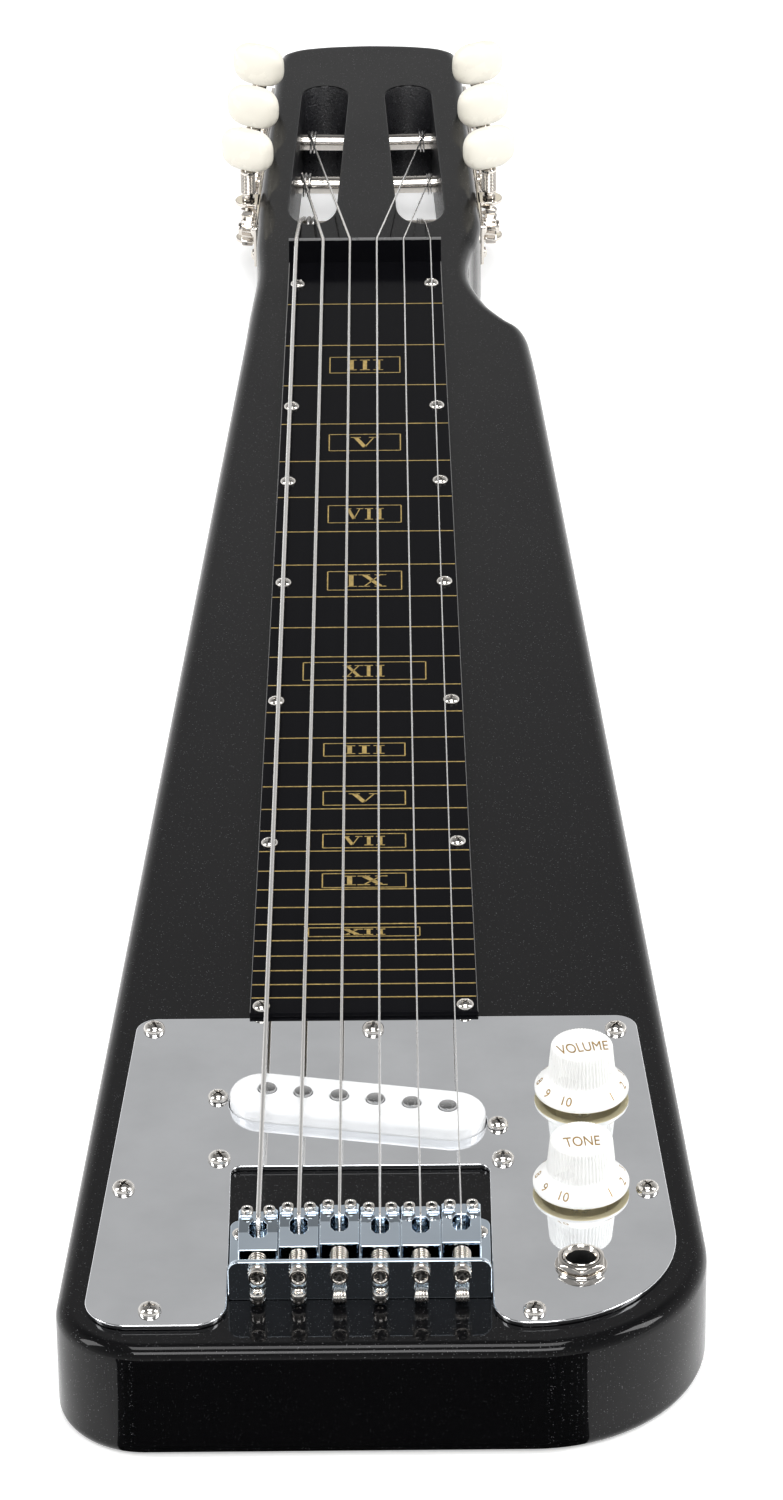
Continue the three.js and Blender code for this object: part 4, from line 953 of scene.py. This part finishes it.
def makeJack():
    j, (x, y) = jackSizes, jackPlace
    r, bore, cone = j["thread"], j["bore"], j["cone"]
    top, foot = plateTop + j["rise"], plateLow - j["bodyLength"]
    deep = top - j["coneDepth"]
    levels = np.arange(plateTop - 1, top - 0.8, j["pitch"])
    crest, valley = ([0 * levels + r, levels], [0 * levels + r - j["ridge"], levels + j["pitch"] / 2])
    profile = np.concatenate([
        [(bore, foot), (j["body"], foot), (j["body"], plateLow - 2), (j["collar"], plateLow - 2),
         (j["collar"], plateLow - 0.2), (r, plateLow - 0.2)],
        np.stack([np.transpose(crest), np.transpose(valley)], 1).reshape(-1, 2),
        [(r, top - 0.35), (r - 0.12, top - 0.1), (r - 0.3, top), (cone + 0.1, top - 0.02), (cone, top - 0.12),
         (bore + 0.05, deep), (bore, deep - 0.1), (bore, plateTop - 3), (bore - 0.3, plateTop - 3.3),
         (bore, plateTop - 3.6)],
    ])
    bush = makePiece("jackBush", placed(turnedRing(profile, 64), (x, y, 0)), nickelPlate,
                     instead=["jack_socket"])
    # The bush's metal bore below the cone is painted black as shade
    paintWhere(bush, bobbinBlackAndBoreShade, lambda centre, normal: (
        (np.hypot(centre[:, 0] - x, centre[:, 1] - y) < bore + 0.03) & (centre[:, 2] < deep - 0.05)
    ))
    # A black plug low in the bore stands for the shade down the hole
    dark = turned(rodProfile(bore - 0.05, foot + 0.1, foot + 0.5), 32)
    makePiece("jackBoreShadePlug", placed(dark, (x, y, 0)), bobbinBlackAndBoreShade)
    seat, rim, inner, thick = plateTop + 0.05, j["washer"], r + 0.25, j["nutThick"]
    step = seat + j["washerThick"]
    washer = turnedRing([(inner, seat), (rim - 0.1, seat), (rim, seat + 0.1), (rim, step - 0.15),
                         (rim - 0.15, step), (inner, step)], 64)
    corners = circle(j["nut"] / math.cos(math.pi / 6), around=6) @ aboutZ(math.pi / 6)[:2, :2]
    share = np.linspace(0, 1, 12, endpoint=False)[None, :, None]
    hexagon = (corners[:, None] * (1 - share) + np.roll(corners, -1, 0)[:, None] * share).reshape(-1, 2)
    radius = np.linalg.norm(hexagon, axis=1)
    # Turned off at both ends: at each height, nothing stands further out than a cone
    rise = np.array([0, 0.2, 0.4, 0.7, 1.0, 1.3, 1.6, 1.8, 2.0, thick])
    limit = j["nutTop"] + np.minimum(rise, thick - rise) * j["nutSlope"]
    outer = lifted(hexagon * np.minimum(1, limit[:, None] / radius)[..., None], rise)
    inside = hexagon / radius[:, None] * inner
    nut = hoop(np.concatenate([outer, lifted(np.array([inside, inside]), [thick, 0])]))
    makePiece("jackNutAndWasher", placed(joined([washer, placed(nut, (0, 0, step))]), (x, y, 0)), nickelPlate,
              instead=["jack_nut"])


makeJack()
print("jack made")


# Bridge: a bent plate whose back wall holds the screws and the strings
def saddleX(i):  # and evenly spaced at the saddles
    return bridgeSizes["x"] + (i - 2.5) * bridgeSizes["saddleSpacing"]


def saddleY(i):  # where the string leaves its saddle, nearer to the nut or the wall by a stagger
    return -bridgeSizes["saddleRun"] + saddleSizes["stagger"][i]


def makeBridge():
    b, low, wallTop = bridgeSizes, bodyTop + 0.1, bodyTop + bridgeSizes["wallHeight"]
    x0, x1, corner = b["x"] - b["width"] / 2, b["x"] + b["width"] / 2, b["corner"]
    floor = slab([panel(x0, -b["end"] + 1, x1, -b["start"], 0, corner)], low, low + b["floor"])
    holes = [hole for i in range(6) for hole in (
        circle(b["screwHole"], saddleX(i), bodyTop + b["screwHeight"], 24),
        circle(stringDiameters[i] + b["anchorClear"], saddleX(i), bodyTop + b["anchorHeight"], 20),
    )]
    wall = slab([panel(x0, low, x1, wallTop, b["wallFoot"], corner, 12), *holes], 0, b["wall"], 0.25)
    wall = placed(wall, (0, -b["end"] + b["wall"], 0), alongY)
    makePiece("bridgeTray", joined([floor, wall]), bridgeChrome, instead=["bridge_plate"])
    places = [((x, -b["start"] - 6.5, low + b["floor"]), aboutZ(0.4 + x)) for x in (x0 + 3.1, x1 - 3.1)]
    screwPiece("bridgeMountScrews", places, diameter=5.2, height=1.1)


# Saddles: a flat block behind the string's opening, arms that rise beside it to two ears, and their screws
saddleSizes = dict(
    lift=6.2, blockHeight=5.2, ear=4.8, earTop=6.7, opening=7.0, openingWidth=4.6, tail=5.8, groove=2.4,
    slope=0.13, screwDiameter=3.1, screwSpacing=5.8, screwTop=8.0, socket=1.5, socketDepth=1.4, rise=0.3,
    stagger=[-1.2, 0.12, 1.14, -0.24, -0.12, 0.84],
)


def makeSaddle(i):
    s, name, x, y = saddleSizes, stringNames[i], saddleX(i), saddleY(i)
    half, w, g = (bridgeSizes["saddleSpacing"] - clearance) / 2, s["openingWidth"] / 2, s["groove"] / 2
    low = bodyTop + s["lift"]
    blockTop, base = low + s["blockHeight"], low + s["rise"]
    step, front, near, far = y - s["opening"], y + s["ear"], y - s["opening"] * 3 / 4, y - s["opening"] / 4
    back = step - s["tail"]
    window = [(x - g, y, 0.2), (x - w, far, 0.4), (x - w, near, 0.4), (x - w / 2, step, 0.4),
              (x + w / 2, step, 0.4), (x + w, near, 0.4), (x + w, far, 0.4), (x + g, y, 0.2)]
    grooveLow = stringHeight - stringDiameters[i] / 2 - clearance
    outside = panel(x - half, back, x + half, front, 0.5, 0.9, 5)
    block = panel(x - half, back, x + half, step + 0.1, 0.4, 0.15, 4)
    solids = [slab([outside, rounded(window, steps=4)], low, grooveLow, 0.25, 3),
              slab([block], base, blockTop, 0.18, 3)]
    for side in (-1, 1):
        # Each arm's top is a plane that rises towards the ear
        arm = [(half, step), (w / 2, step), (w, near), (w, far), (g, y), (g + 0.5, front - 1),
               (half, front - 1)]
        points, faces = slab([np.array(arm) * [side, 1] + [x, 0]], base, blockTop - 0.25, 0.2, 3)
        share = (points[:, 2] - base) / (blockTop - 0.25 - base)
        points[:, 2] += share * (points[:, 1] - step) * s["slope"]
        ear = panel(x + side * (g + 0.3), y + 0.5, x + side * (half - 0.03), front - 0.05, 0.9, 1.6, 8)
        solids += [(points, faces), slab([ear], base, low + s["earTop"], 0.75, 7)]
    makePiece(f"saddleBlock_{name}", joined(solids), bridgeChrome, instead=[f"saddle_{name}"])
    top, foot, deep = low + s["screwTop"], bodyTop + 1.9, low + s["screwTop"] - s["socketDepth"]
    r, socket = s["screwDiameter"] / 2, s["socket"] / 2
    profile = [(0, foot), (r * 0.6, foot), (r, foot + 0.6), (r, top - 0.45), (r - 0.12, top - 0.15),
               (r - 0.4, top), (socket + 0.1, top), (socket, top - 0.12), (socket, deep), (0, deep - 0.2)]
    spots = [(x + side * s["screwSpacing"] / 2, y + s["ear"] / 2, 0) for side in (-1, 1)]
    pair = joined([placed(turned(profile, 32), spot) for spot in spots])
    screws = makePiece(f"saddleScrews_{name}", pair, brightNickel)
    paintWhere(screws, recessShade, lambda centre, normal: (centre[:, 2] > deep - 0.3) & np.any(
        [np.hypot(centre[:, 0] - a, centre[:, 1] - c) < socket + 0.03 for a, c, _ in spots], axis=0))


makeBridge()
for i in range(6):
    makeSaddle(i)
print("bridge and saddles made")

# Intonation screws and their springs
screwSizes = dict(
    thread=2.6, pitch=0.45, ridge=0.22, head=4.75, headLength=3.1, groove=0.25, bite=3.4, wire=0.52, coil=4.4,
    space=0.42, shank=1.3, armHalf=1.5 * crossSizes["armHalf"], armEnd=0.7, dish=0.3, crossDepth=0.9,
    face=0.86,
)


def groovedHead(diameter, length, around=72, rings=18):
    # A flat face with a rounded rim and a dished cross, on a grooved wall
    s, radius = screwSizes, diameter / 2
    share, middle, groove = np.linspace(0, s["face"], rings)[:, None], length * 0.42, s["groove"]
    face = length - s["dish"] * (1 - smoothStep(share, 0.6, 0.8))
    wall = lathe([
        (0, 0), (radius - 0.2, 0), (radius, 0.2), (radius, middle - groove), (radius - groove, middle),
        (radius, middle + groove), (radius, length - 0.35), (radius - 0.1, length - 0.1),
        (radius - 0.28, length),
    ], around)
    top = crossedTop(share, around, radius, face, s["crossDepth"], s["armHalf"], s["armEnd"])
    return skin(np.concatenate([wall, top]))


def makeIntonation(i):
    s, b, name = screwSizes, bridgeSizes, stringNames[i]
    x, face, z = spot = saddleX(i), -b["end"] - 0.1, bodyTop + b["screwHeight"]
    back = saddleY(i) - saddleSizes["opening"] - saddleSizes["tail"]
    # Local Z runs from the saddle to the head
    length, turn = back + s["bite"] - face, alongY @ aboutZ(0.4 + i)
    levels = np.arange(0, length, s["pitch"] / 2)
    ridge = np.where(np.arange(len(levels)) % 2, s["thread"] / 2, s["thread"] / 2 - s["ridge"])
    shank = [[(0, -length)], np.column_stack([ridge, levels - length]), [(s["shank"], 0.3), (0, 0.3)]]
    parts = [placed(turned(np.concatenate(shank), 24), spot, alongY),
             placed(groovedHead(s["head"], s["headLength"]), spot, turn)]
    screw = makePiece(f"intonationScrew_{name}", joined(parts), nickelPlate,
                      instead=[f"intonation_screw_{name}"])
    test = crossTest([(spot, turn)], s["head"] / 2, s["armHalf"] + 0.03, s["armEnd"] - 0.04, 0.5)
    paintWhere(screw, recessShade, test)

    # Coil with a closed turn at each end
    wire, r = s["wire"], s["coil"] / 2
    start, end = -b["end"] + b["wall"] + clearance + wire / 2, back - clearance - wire / 2
    middle = max(1, round((end - start - 2 * wire) / (wire + s["space"])))
    t = np.linspace(0, middle + 2, (middle + 2) * 28 + 1)
    y = np.interp(t, [0, 1, middle + 1, middle + 2], [start, start + wire, end - wire, end])
    path = np.stack([x + np.cos(wholeTurn * t) * r, y, z + np.sin(wholeTurn * t) * r], -1)
    makePiece(f"springCoil_{name}", swept(path, wire / 2, 10), springWire, instead=[f"spring_{name}"])


for i in range(6):
    makeIntonation(i)
print("screws and springs made")

# Tuners: plates with lugs, posts with gears, and keys with worms and buttons
tunerSizes = dict(
    keyOffset=4.5, plate=1.2, length=116.0, height=15.2, plateHole=6.6, lugWidth=8.6, lugReach=4.6, lug=1.2,
    post=6.0, socket=5.6, teeth=15, gearRadius=5.4, gearWidth=3.6, wormRadius=2.1, addendum=0.6,
    dedendum=0.85, play=0.3, slope=math.tan(math.radians(20)), screwDiameter=4.4, screwRise=1.4,
    wormTurns=3.5, neck=3.0, neckFlange=4.4, neckHeight=2.2, collar=5.2, collarHeight=8.8, stem=3.0,
    stemHeight=7.0, buttonWidth=19.4, buttonDepth=8.0, buttonHeight=15.2, buttonTurn=math.radians(27),
    screwSide=4.6, screwAhead=10.6, screwMiddle=-2.0, screwBeyond=14.0,
)
# First turn, out from the slot's centre line, nearest post first
windOffsets = {-1: [3.7, 6.3, 5.6], 1: [1.1, 6.3, 5.6]}
postRows = [row * bodySizes["postSpacing"] for row in (-1, 0, 1)]


def tunerOf(i):  # a string's side, its post's place in the row and its first turn's offset
    row, side = (i, -1) if i < 3 else (5 - i, 1)
    return side, postRows[row], windOffsets[side][row]


def tunerTeeth():  # the teeth's pitch, half a tooth's thickness and the worm's lead angle
    s = tunerSizes
    pitch = wholeTurn * s["gearRadius"] / s["teeth"]
    return pitch, (pitch / 2 - s["play"]) / 2, math.atan(pitch / (wholeTurn * s["wormRadius"]))


def makeTunerPlate(side):
    s, (spot, turn), facing = tunerSizes, tunerFrame(side), outwards(side)
    lugY, half, high = s["gearRadius"] + s["wormRadius"], s["length"] / 2, s["height"] / 2
    holes = [circle(s["plateHole"], y, 0) for y in postRows]
    plate = slab([panel(lugY - half, -high, lugY + half, high, 1.2), *holes], 0, s["plate"], 0.2, 3)
    # Each lug is a tongue with a round end and a bore for the key
    wide, foot, t = s["lugWidth"] / 2, clearance + 0.2, np.linspace(-math.pi / 2, math.pi / 2, 24)
    tip = np.stack([s["keyOffset"] + s["lugReach"] - wide + np.cos(t) * wide, np.sin(t) * wide], -1)
    tongue = np.concatenate([[(foot, -wide)], tip, [(foot, wide)]]) * [side, 1]
    bore = circle(2 * (s["wormRadius"] - s["dedendum"] + 0.2), side * s["keyOffset"], 0, 24)
    solids = [placed(plate, (side * clearance, 0, 0), facing)]
    for y in postRows:
        for level in (-1, 1):
            z = level * (s["height"] - s["lug"]) / 2
            lug = slab([tongue, bore], z - s["lug"] / 2, z + s["lug"] / 2, 0.2, 3)
            solids.append(placed(lug, (0, y + lugY, 0)))
    name = "Bass" if side < 0 else "Treble"
    makePiece(f"tunerPlate{name}", placed(joined(solids), spot, turn), nickelPlate,
              instead=[f"tuner_plate_{name.lower()}"])
    near, middle, far = postRows
    rows = [near - s["screwAhead"], (near + middle) / 2 + s["screwMiddle"],
            (middle + far) / 2 + s["screwMiddle"], far + lugY + s["screwBeyond"]]
    places = [(turn @ (side * (clearance + s["plate"]), y, z) + spot, turn @ facing)
              for y in rows for z in (-s["screwSide"], s["screwSide"])]
    screwPiece(f"tunerScrews{name}", places, diameter=4.0, height=1.3, finish=nickelPlate)


def makePost(i):
    s, name, (side, y, _) = tunerSizes, stringNames[i], tunerOf(i)
    _, halfTooth, lead = tunerTeeth()
    # Gear: teeth carried across its width with the worm's lead, drawn in a little at both faces
    root, tip, half = s["gearRadius"] - s["dedendum"], s["gearRadius"] + s["addendum"], s["gearWidth"] / 2
    low = (halfTooth + s["dedendum"] * s["slope"]) / root
    high = (halfTooth - s["addendum"] * s["slope"]) / tip
    radius, flank = np.tile([root, tip, tip, root], s["teeth"]), np.array([-low, -high, high, low])
    middles = wholeTurn * (np.arange(s["teeth"])[:, None] + 0.5) / s["teeth"]
    rings = []
    for across in (-half, -half + 0.3, 0, half - 0.3, half):
        angle = (middles + across * math.tan(lead) / s["gearRadius"] + flank).ravel()
        r = np.minimum(radius, tip - 0.25 * (abs(across) == half))
        x = 0 * r + side * s["keyOffset"] + across
        rings.append(np.stack([x, y + np.cos(angle) * r, np.sin(angle) * r], -1))
    # Roller and the gear's screw, turned about X
    inner = bodySizes["slotInset"] + bodySizes["slotWidth"] / 2 + s["socket"] - side * bodySizes["slotShift"]
    outer, r, h = s["keyOffset"], s["post"] / 2, s["screwDiameter"] / 2
    end = outer + half + s["screwRise"]
    roller = [(0, -inner), (r - 0.3, -inner), (r, -inner + 0.3), (r, outer), (0, outer)]
    cap = [(0, outer), (h, outer), (h, end - 0.45), (h - 0.15, end - 0.15), (h - 0.5, end), (0, end)]
    shafts = [placed(turned(profile, 40), (0, y, 0), outwards(side)) for profile in (roller, cap)]
    solid = placed(joined([skin(rings), *shafts]), *tunerFrame(side))
    makePiece(f"tunerPost_{name}", solid, nickelPlate, f"post_{name}", [f"tuner_post_{name}"])


def squared(value, power):  # a sine or cosine pressed towards a square wave
    return np.sign(value) * abs(value) ** power


def makeKey(i):
    s, name, (side, y, _), clear = tunerSizes, stringNames[i], tunerOf(i), clearance
    pitch, halfTooth, _ = tunerTeeth()
    axis = side * s["keyOffset"], y + s["gearRadius"] + s["wormRadius"], 0
    root, tip = s["wormRadius"] - s["dedendum"], s["wormRadius"] + s["addendum"]
    sunk = root - 0.2
    # Worm: a tooth's section carried round the axis
    low, high = halfTooth + (s["wormRadius"] - sunk) * s["slope"], halfTooth - s["addendum"] * s["slope"]
    radius, level = np.array([(sunk, -low), (tip, -high), (tip, high), (sunk, low)]).T
    turns = np.linspace(-s["wormTurns"] / 2, s["wormTurns"] / 2, 113)[:, None]
    angle = wholeTurn * turns - math.pi / 2
    thread = skin(np.stack([np.cos(angle) * radius, np.sin(angle) * radius, level + turns * pitch], -1))
    lug, r, neck, stem = (s[size] / 2 for size in ("height", "collar", "neck", "stem"))
    flange, foot = s["neckFlange"] / 2, -lug - s["lug"]
    neckTop = lug + clear + s["neckHeight"]
    top, end = neckTop + s["collarHeight"], neckTop + s["collarHeight"] + s["stemHeight"]
    levels = np.arange(neckTop + 0.9, top - 0.9, 0.55)
    ridges = [point for z in levels for point in ((r - 0.22, z), (r, z + 0.2), (r, z + 0.35))]
    shaft = turned([
        (0, foot), (root - 0.2, foot), (root, foot + 0.2), (root, lug + 0.25), (flange, lug + clear),
        (flange, lug + clear + 0.6), (neck + 0.1, lug + clear + 0.8), (neck + 0.1, neckTop - 0.4),
        (r - 0.3, neckTop), (r, neckTop + 0.3), (r, neckTop + 0.7), *ridges, (r, top - 0.7), (r, top - 0.3),
        (r - 0.3, top), (stem, top), (stem, end), (0, end),
    ], 36)
    key = placed(placed(joined([thread, shaft]), axis), *tunerFrame(side))
    makePiece(f"wormKey_{name}", key, nickelPlate, f"key_{name}", [f"worm_shaft_{name}"])

    # Button: a ball with squared-off sides, flat where it sits on the collar
    polar, angle = np.linspace(0, math.pi, 41)[1:-1, None], fullTurn(72)[None]
    height = squared(np.cos(polar) * np.ones_like(angle), 0.75) * s["buttonHeight"] / 2
    ball = skin(np.stack([
        squared(np.sin(polar) * np.cos(angle), 0.7) * s["buttonWidth"] / 2,
        squared(np.sin(polar) * np.sin(angle), 0.8) * s["buttonDepth"] / 2,
        np.maximum(height + s["buttonHeight"] / 2, clear),
    ], -1))
    turn = aboutZ(side * (s["buttonTurn"] - bodySizes["headTaper"]))
    button = placed(placed(ball, (axis[0], axis[1], top + 0.1), turn), *tunerFrame(side))
    makePiece(f"keyButton_{name}", button, buttonCream, f"key_{name}", [f"button_{name}"],
              sharpAngle=60)


for side in (-1, 1):
    makeTunerPlate(side)
for i in range(6):
    makePost(i)
    makeKey(i)
print("tuners made")

# Strings: a wire from the ball behind the bridge, over saddle and nut, and round the post
ballSizes = dict(
    half=1.5, radius=2.15, groove=0.4, bore=0.9, cup=0.5, spools=[0, 1, 3], wraps=5, wrapSpace=0.68,
    wire=0.34,
)
windSizes = dict(turns=2, space=0.45, bend=1.5)


def stringPath(i):  # straight runs with soft bends, and then a coil round the post
    b, s, w, radius = bridgeSizes, bodySizes, windSizes, stringDiameters[i] / 2
    side, y, windOffset = tunerOf(i)
    spot, turn = tunerFrame(side)
    x, anchor, postZ = saddleX(i), bodyTop + b["anchorHeight"], bodyTop - s["postDrop"]
    route = [
        (x, -b["end"] - ballSizes["radius"], anchor),
        (x, -b["end"] + b["wall"] + radius, anchor),
        (x, saddleY(i) - saddleSizes["opening"] * 3 / 4, bodyTop + saddleSizes["lift"] - radius - clearance),
        (x, saddleY(i) - radius, stringHeight),
        (nutX(i), 1.0, nutHeight),
    ]
    wind = tunerSizes["post"] / 2 + clearance + radius
    firstX = s["slotShift"] - side * (s["slotInset"] - windOffset)
    meet = np.array([firstX, y, 0]) @ turn.T + spot
    # Where its straight run would cut the slot's rounded near end, the string bends over that edge
    slotEnd = (s["slotWidth"] - math.sqrt(s["slotWidth"] ** 2 - (2 * windOffset) ** 2)) / 2
    edge = np.array([firstX, s["slotNear"] - s["postRun"] + slotEnd, radius + clearance + s["postDrop"]])
    edge = edge @ turn.T + spot
    if nutHeight + (postZ + wind - nutHeight) * (edge[1] - 2) / (meet[1] - 2) < edge[2]:
        route.append(tuple(edge))
    runY, runZ = route[-1][1] - meet[1], route[-1][2] - postZ
    # The coil starts where a straight line from the last bend touches the post
    t = np.linspace(0, w["turns"], 81)
    angle = math.atan2(runZ, runY) - math.acos(wind / math.hypot(runY, runZ)) - wholeTurn * t
    turnX = firstX - side * (2 * radius + w["space"]) * t
    turns = np.stack([turnX, y + np.cos(angle) * wind, np.sin(angle) * wind], -1) @ turn.T + spot
    return np.vstack([softPath(route + [tuple(turns[0])], w["bend"])[:-1], turns])


def ballEnd(i):  # a grooved spool behind the wall, or a bundle of wraps round it
    b, s, r, half, bore = bridgeSizes, ballSizes, ballSizes["radius"], ballSizes["half"], ballSizes["bore"]
    spot, waist = (saddleX(i), -b["end"] - r - 0.1, bodyTop + b["anchorHeight"]), r - s["groove"]
    if i in s["spools"]:
        profile = [
            (bore, -half), (r - 0.35, -half), (r - 0.2, -half + 0.25), (r - 0.12, -0.55), (waist, -0.4),
            (waist, -0.1), (r - 0.05, 0.05), (r, half - 0.4), (r - 0.2, half), (r - 0.5, half),
            (bore + 0.1, half - s["cup"]), (bore, half - s["cup"] - 0.3),
        ]
        return placed(turnedRing(profile, 40), spot)
    # Each wrap is a closed loop about X, widest in the middle of the bundle
    wraps, t, ring = [], fullTurn(40), fullTurn(10)[None, :, None]
    for k in range(s["wraps"]):
        shift = (k - (s["wraps"] - 1) / 2) * s["wrapSpace"]
        size = r - s["wire"] - 0.12 * shift**2
        loop = np.stack([shift + 0.18 * np.sin(t + k), size * np.cos(t), size * 0.95 * np.sin(t)], -1)
        direction = np.roll(loop, -1, 0) - np.roll(loop, 1, 0)
        direction /= np.linalg.norm(direction, axis=1)[:, None]
        sideways = np.cross(direction, [1, 0, 0])[:, None]
        wraps.append(hoop(loop[:, None] + s["wire"] * (np.cos(ring) * [1.0, 0, 0] + np.sin(ring) * sideways)))
    return placed(joined(wraps), spot)


for i, name in enumerate(stringNames):
    wire, finish = swept(stringPath(i), stringDiameters[i] / 2, 14), woundWire if i < 3 else drawnWire
    makePiece(f"stringWire_{name}", wire, finish, instead=[f"string_{name}"])
    makePiece(f"stringBall_{name}", ballEnd(i), brightNickel)
print("strings made")

# CAD nodes that stay as they are get a finish of their own
for name in controlPlaces:
    for node, finish in ((f"{name}_pot", zincCan), (f"{name}_shaft", drawnWire)):
        nodes[node].data.materials.clear()
        nodes[node].data.materials.append(finish)

# Camera: its place, turn and focal length follow from the fret lines in the photograph
cameraSizes = dict(
    spot=(11.693, -1954.890, 959.784), yaw=math.radians(-0.13108), pitch=math.radians(30.4847),
    roll=math.radians(-0.58028), focalPixels=6450.586, longSidePixels=1500, sensor=36.0, farthest=50,
)


def makeCamera():  # looks along its own -Z, with yaw and pitch first and then roll
    c = cameraSizes
    cy, sy, cp, sp = math.cos(c["yaw"]), math.sin(c["yaw"]), math.cos(c["pitch"]), math.sin(c["pitch"])
    forward, right = np.array([sy * cp, cy * cp, -sp]), np.array([cy, -sy, 0])
    data = bpy.data.cameras.new("camera")
    data.sensor_width = c["sensor"]
    data.lens = c["focalPixels"] / c["longSidePixels"] * c["sensor"]
    data.clip_end = c["farthest"]
    camera, matrix = linked("camera", data), np.eye(4)
    matrix[:3, :3] = axes(right, np.cross(right, forward), -forward) @ aboutZ(c["roll"])
    matrix[:3, 3] = toRow(c["spot"])
    camera.matrix_world = Matrix(matrix.tolist())
    bpy.context.scene.camera = camera


# Studio: a white floor, a pale sky that is dimmer overhead, and soft lamps
studioSizes = dict(
    floor=30.0, floorWhite=0.9, reflectionBlack=0.02, skyLow=1.0, skyFar=0.44, skyTop=0.18, cameraSide=0.8,
    lift=0.42, reflectionPatchMiddle=-0.0076, reflectionPatchHalf=0.0624, reflectionPatchSlope=0.68, reflectionPatchStart=-0.4026, reflectionPatchEnd=-1.2,
    reflectionPatchOverlap=0.004,
)
lamps = {  # spot, aim, width and height in metres, and power in watts
    "overheadSoftbox": ((0.0, -0.3, 2.4), (0, -0.2, 0), (0.9, 0.9), 17),
    "cameraSoftbox": ((0.1, -2.3, 2.6), (0, -0.3, 0), (1.6, 0.9), 44),
    "leftSoftbox": ((-1.9, -0.6, 1.5), (0, -0.2, 0), (0.6, 1.4), 20),
    "rightSoftbox": ((1.9, -0.5, 1.7), (0, -0.2, 0), (0.6, 1.4), 26),
}


def product(tree, first, *others):  # values multiplied one after another
    for value in others:
        first = arithmetic(tree, "MULTIPLY", first, value)
    return first


def coordinates(tree, kind):  # a place or a direction as X, Y and Z
    return addNode(tree, "SeparateXYZ", {"Vector": addNode(tree, "TexCoord").outputs[kind]}).outputs


def paintedDarkReflection(tree, rays):  # 1 over the part of the floor in front of the tail, for glossy rays alone: a painted dark reflection in the body's tail wall
    s, where = studioSizes, coordinates(tree, "Object")
    ahead = arithmetic(tree, "SUBTRACT", s["reflectionPatchStart"], where["Y"])
    aside = arithmetic(tree, "ABSOLUTE", arithmetic(tree, "SUBTRACT", where["X"], s["reflectionPatchMiddle"]))
    half = arithmetic(tree, "MULTIPLY_ADD", ahead, s["reflectionPatchSlope"], s["reflectionPatchHalf"])
    limits = [(half, aside), (ahead, -s["reflectionPatchOverlap"]), (where["Y"], s["reflectionPatchEnd"])]
    return product(tree, *(arithmetic(tree, "GREATER_THAN", *pair) for pair in limits), rays["Is Glossy Ray"])


def makeFloor():  # lifted to white where the camera, a reflection or clear plastic sees it
    s, half = studioSizes, studioSizes["floor"] / 2
    made, tree, inputs = newFinish("studioFloorWhite", (1, 1, 1), 0.9, Specular_IOR_Level=0.1,
                                   Emission_Color=(1, 1, 1, 1))
    rays = addNode(tree, "LightPath").outputs
    darkReflectionMask = paintedDarkReflection(tree, rays)
    seen = arithmetic(tree, "MAXIMUM", rays["Is Camera Ray"], rays["Is Glossy Ray"])
    seen = arithmetic(tree, "MAXIMUM", seen, rays["Is Transmission Ray"])
    # Glossy rays see that patch black, so the tail wall shows a painted dark reflection
    plug(blended(tree, darkReflectionMask, (s["floorWhite"],) * 3, (s["reflectionBlack"],) * 3), inputs["Base Color"])
    plug(product(tree, seen, s["lift"], arithmetic(tree, "SUBTRACT", 1.0, darkReflectionMask)), inputs["Emission Strength"])
    mesh = bpy.data.meshes.new("studioFloor")
    corners = [(-half, -half, 0), (half, -half, 0), (half, half, 0), (-half, half, 0)]
    mesh.from_pydata(corners, [], [(0, 1, 2, 3)])
    mesh.materials.append(made)
    floor = linked("studioFloor", mesh)


def makeSky():  # white at the horizon, grey beyond the head, darker overhead and behind the camera
    s, world = studioSizes, bpy.data.worlds.new("studioSky")
    bpy.context.scene.world = world
    world.use_nodes = True
    tree, smooth = world.node_tree, dict(interpolation_type="SMOOTHSTEP")
    background, where = tree.nodes["Background"].inputs, coordinates(tree, "Generated")
    level = between(tree, where["Z"], s["skyLow"], s["skyFar"], 0.05, 0.62, **smooth)
    above = between(tree, where["Z"], 1.0, s["skyTop"] / s["skyFar"], 0.62, 0.8, **smooth)
    risen = between(tree, where["Z"], 0, 1, 0.1, 0.35)
    behind = product(tree, risen, between(tree, where["Y"], 1 - s["cameraSide"], 0.0, -0.5, 0.0))
    plug((1, 1, 1, 1), background["Color"])
    plug(product(tree, level, above, arithmetic(tree, "SUBTRACT", 1.0, behind)), background["Strength"])


makeCamera()
makeFloor()
makeSky()
for name, (spot, aim, (wide, high), power) in lamps.items():
    data = bpy.data.lights.new(name, "AREA")
    data.shape, data.size, data.size_y, data.energy = "RECTANGLE", wide, high, power
    lamp = linked(name, data)
    lamp.location, lamp.rotation_mode = spot, "QUATERNION"
    lamp.rotation_quaternion = (Vector(aim) - Vector(spot)).to_track_quat("-Z", "Y")
bpy.context.scene.view_settings.view_transform = "Standard"
print("studio made")
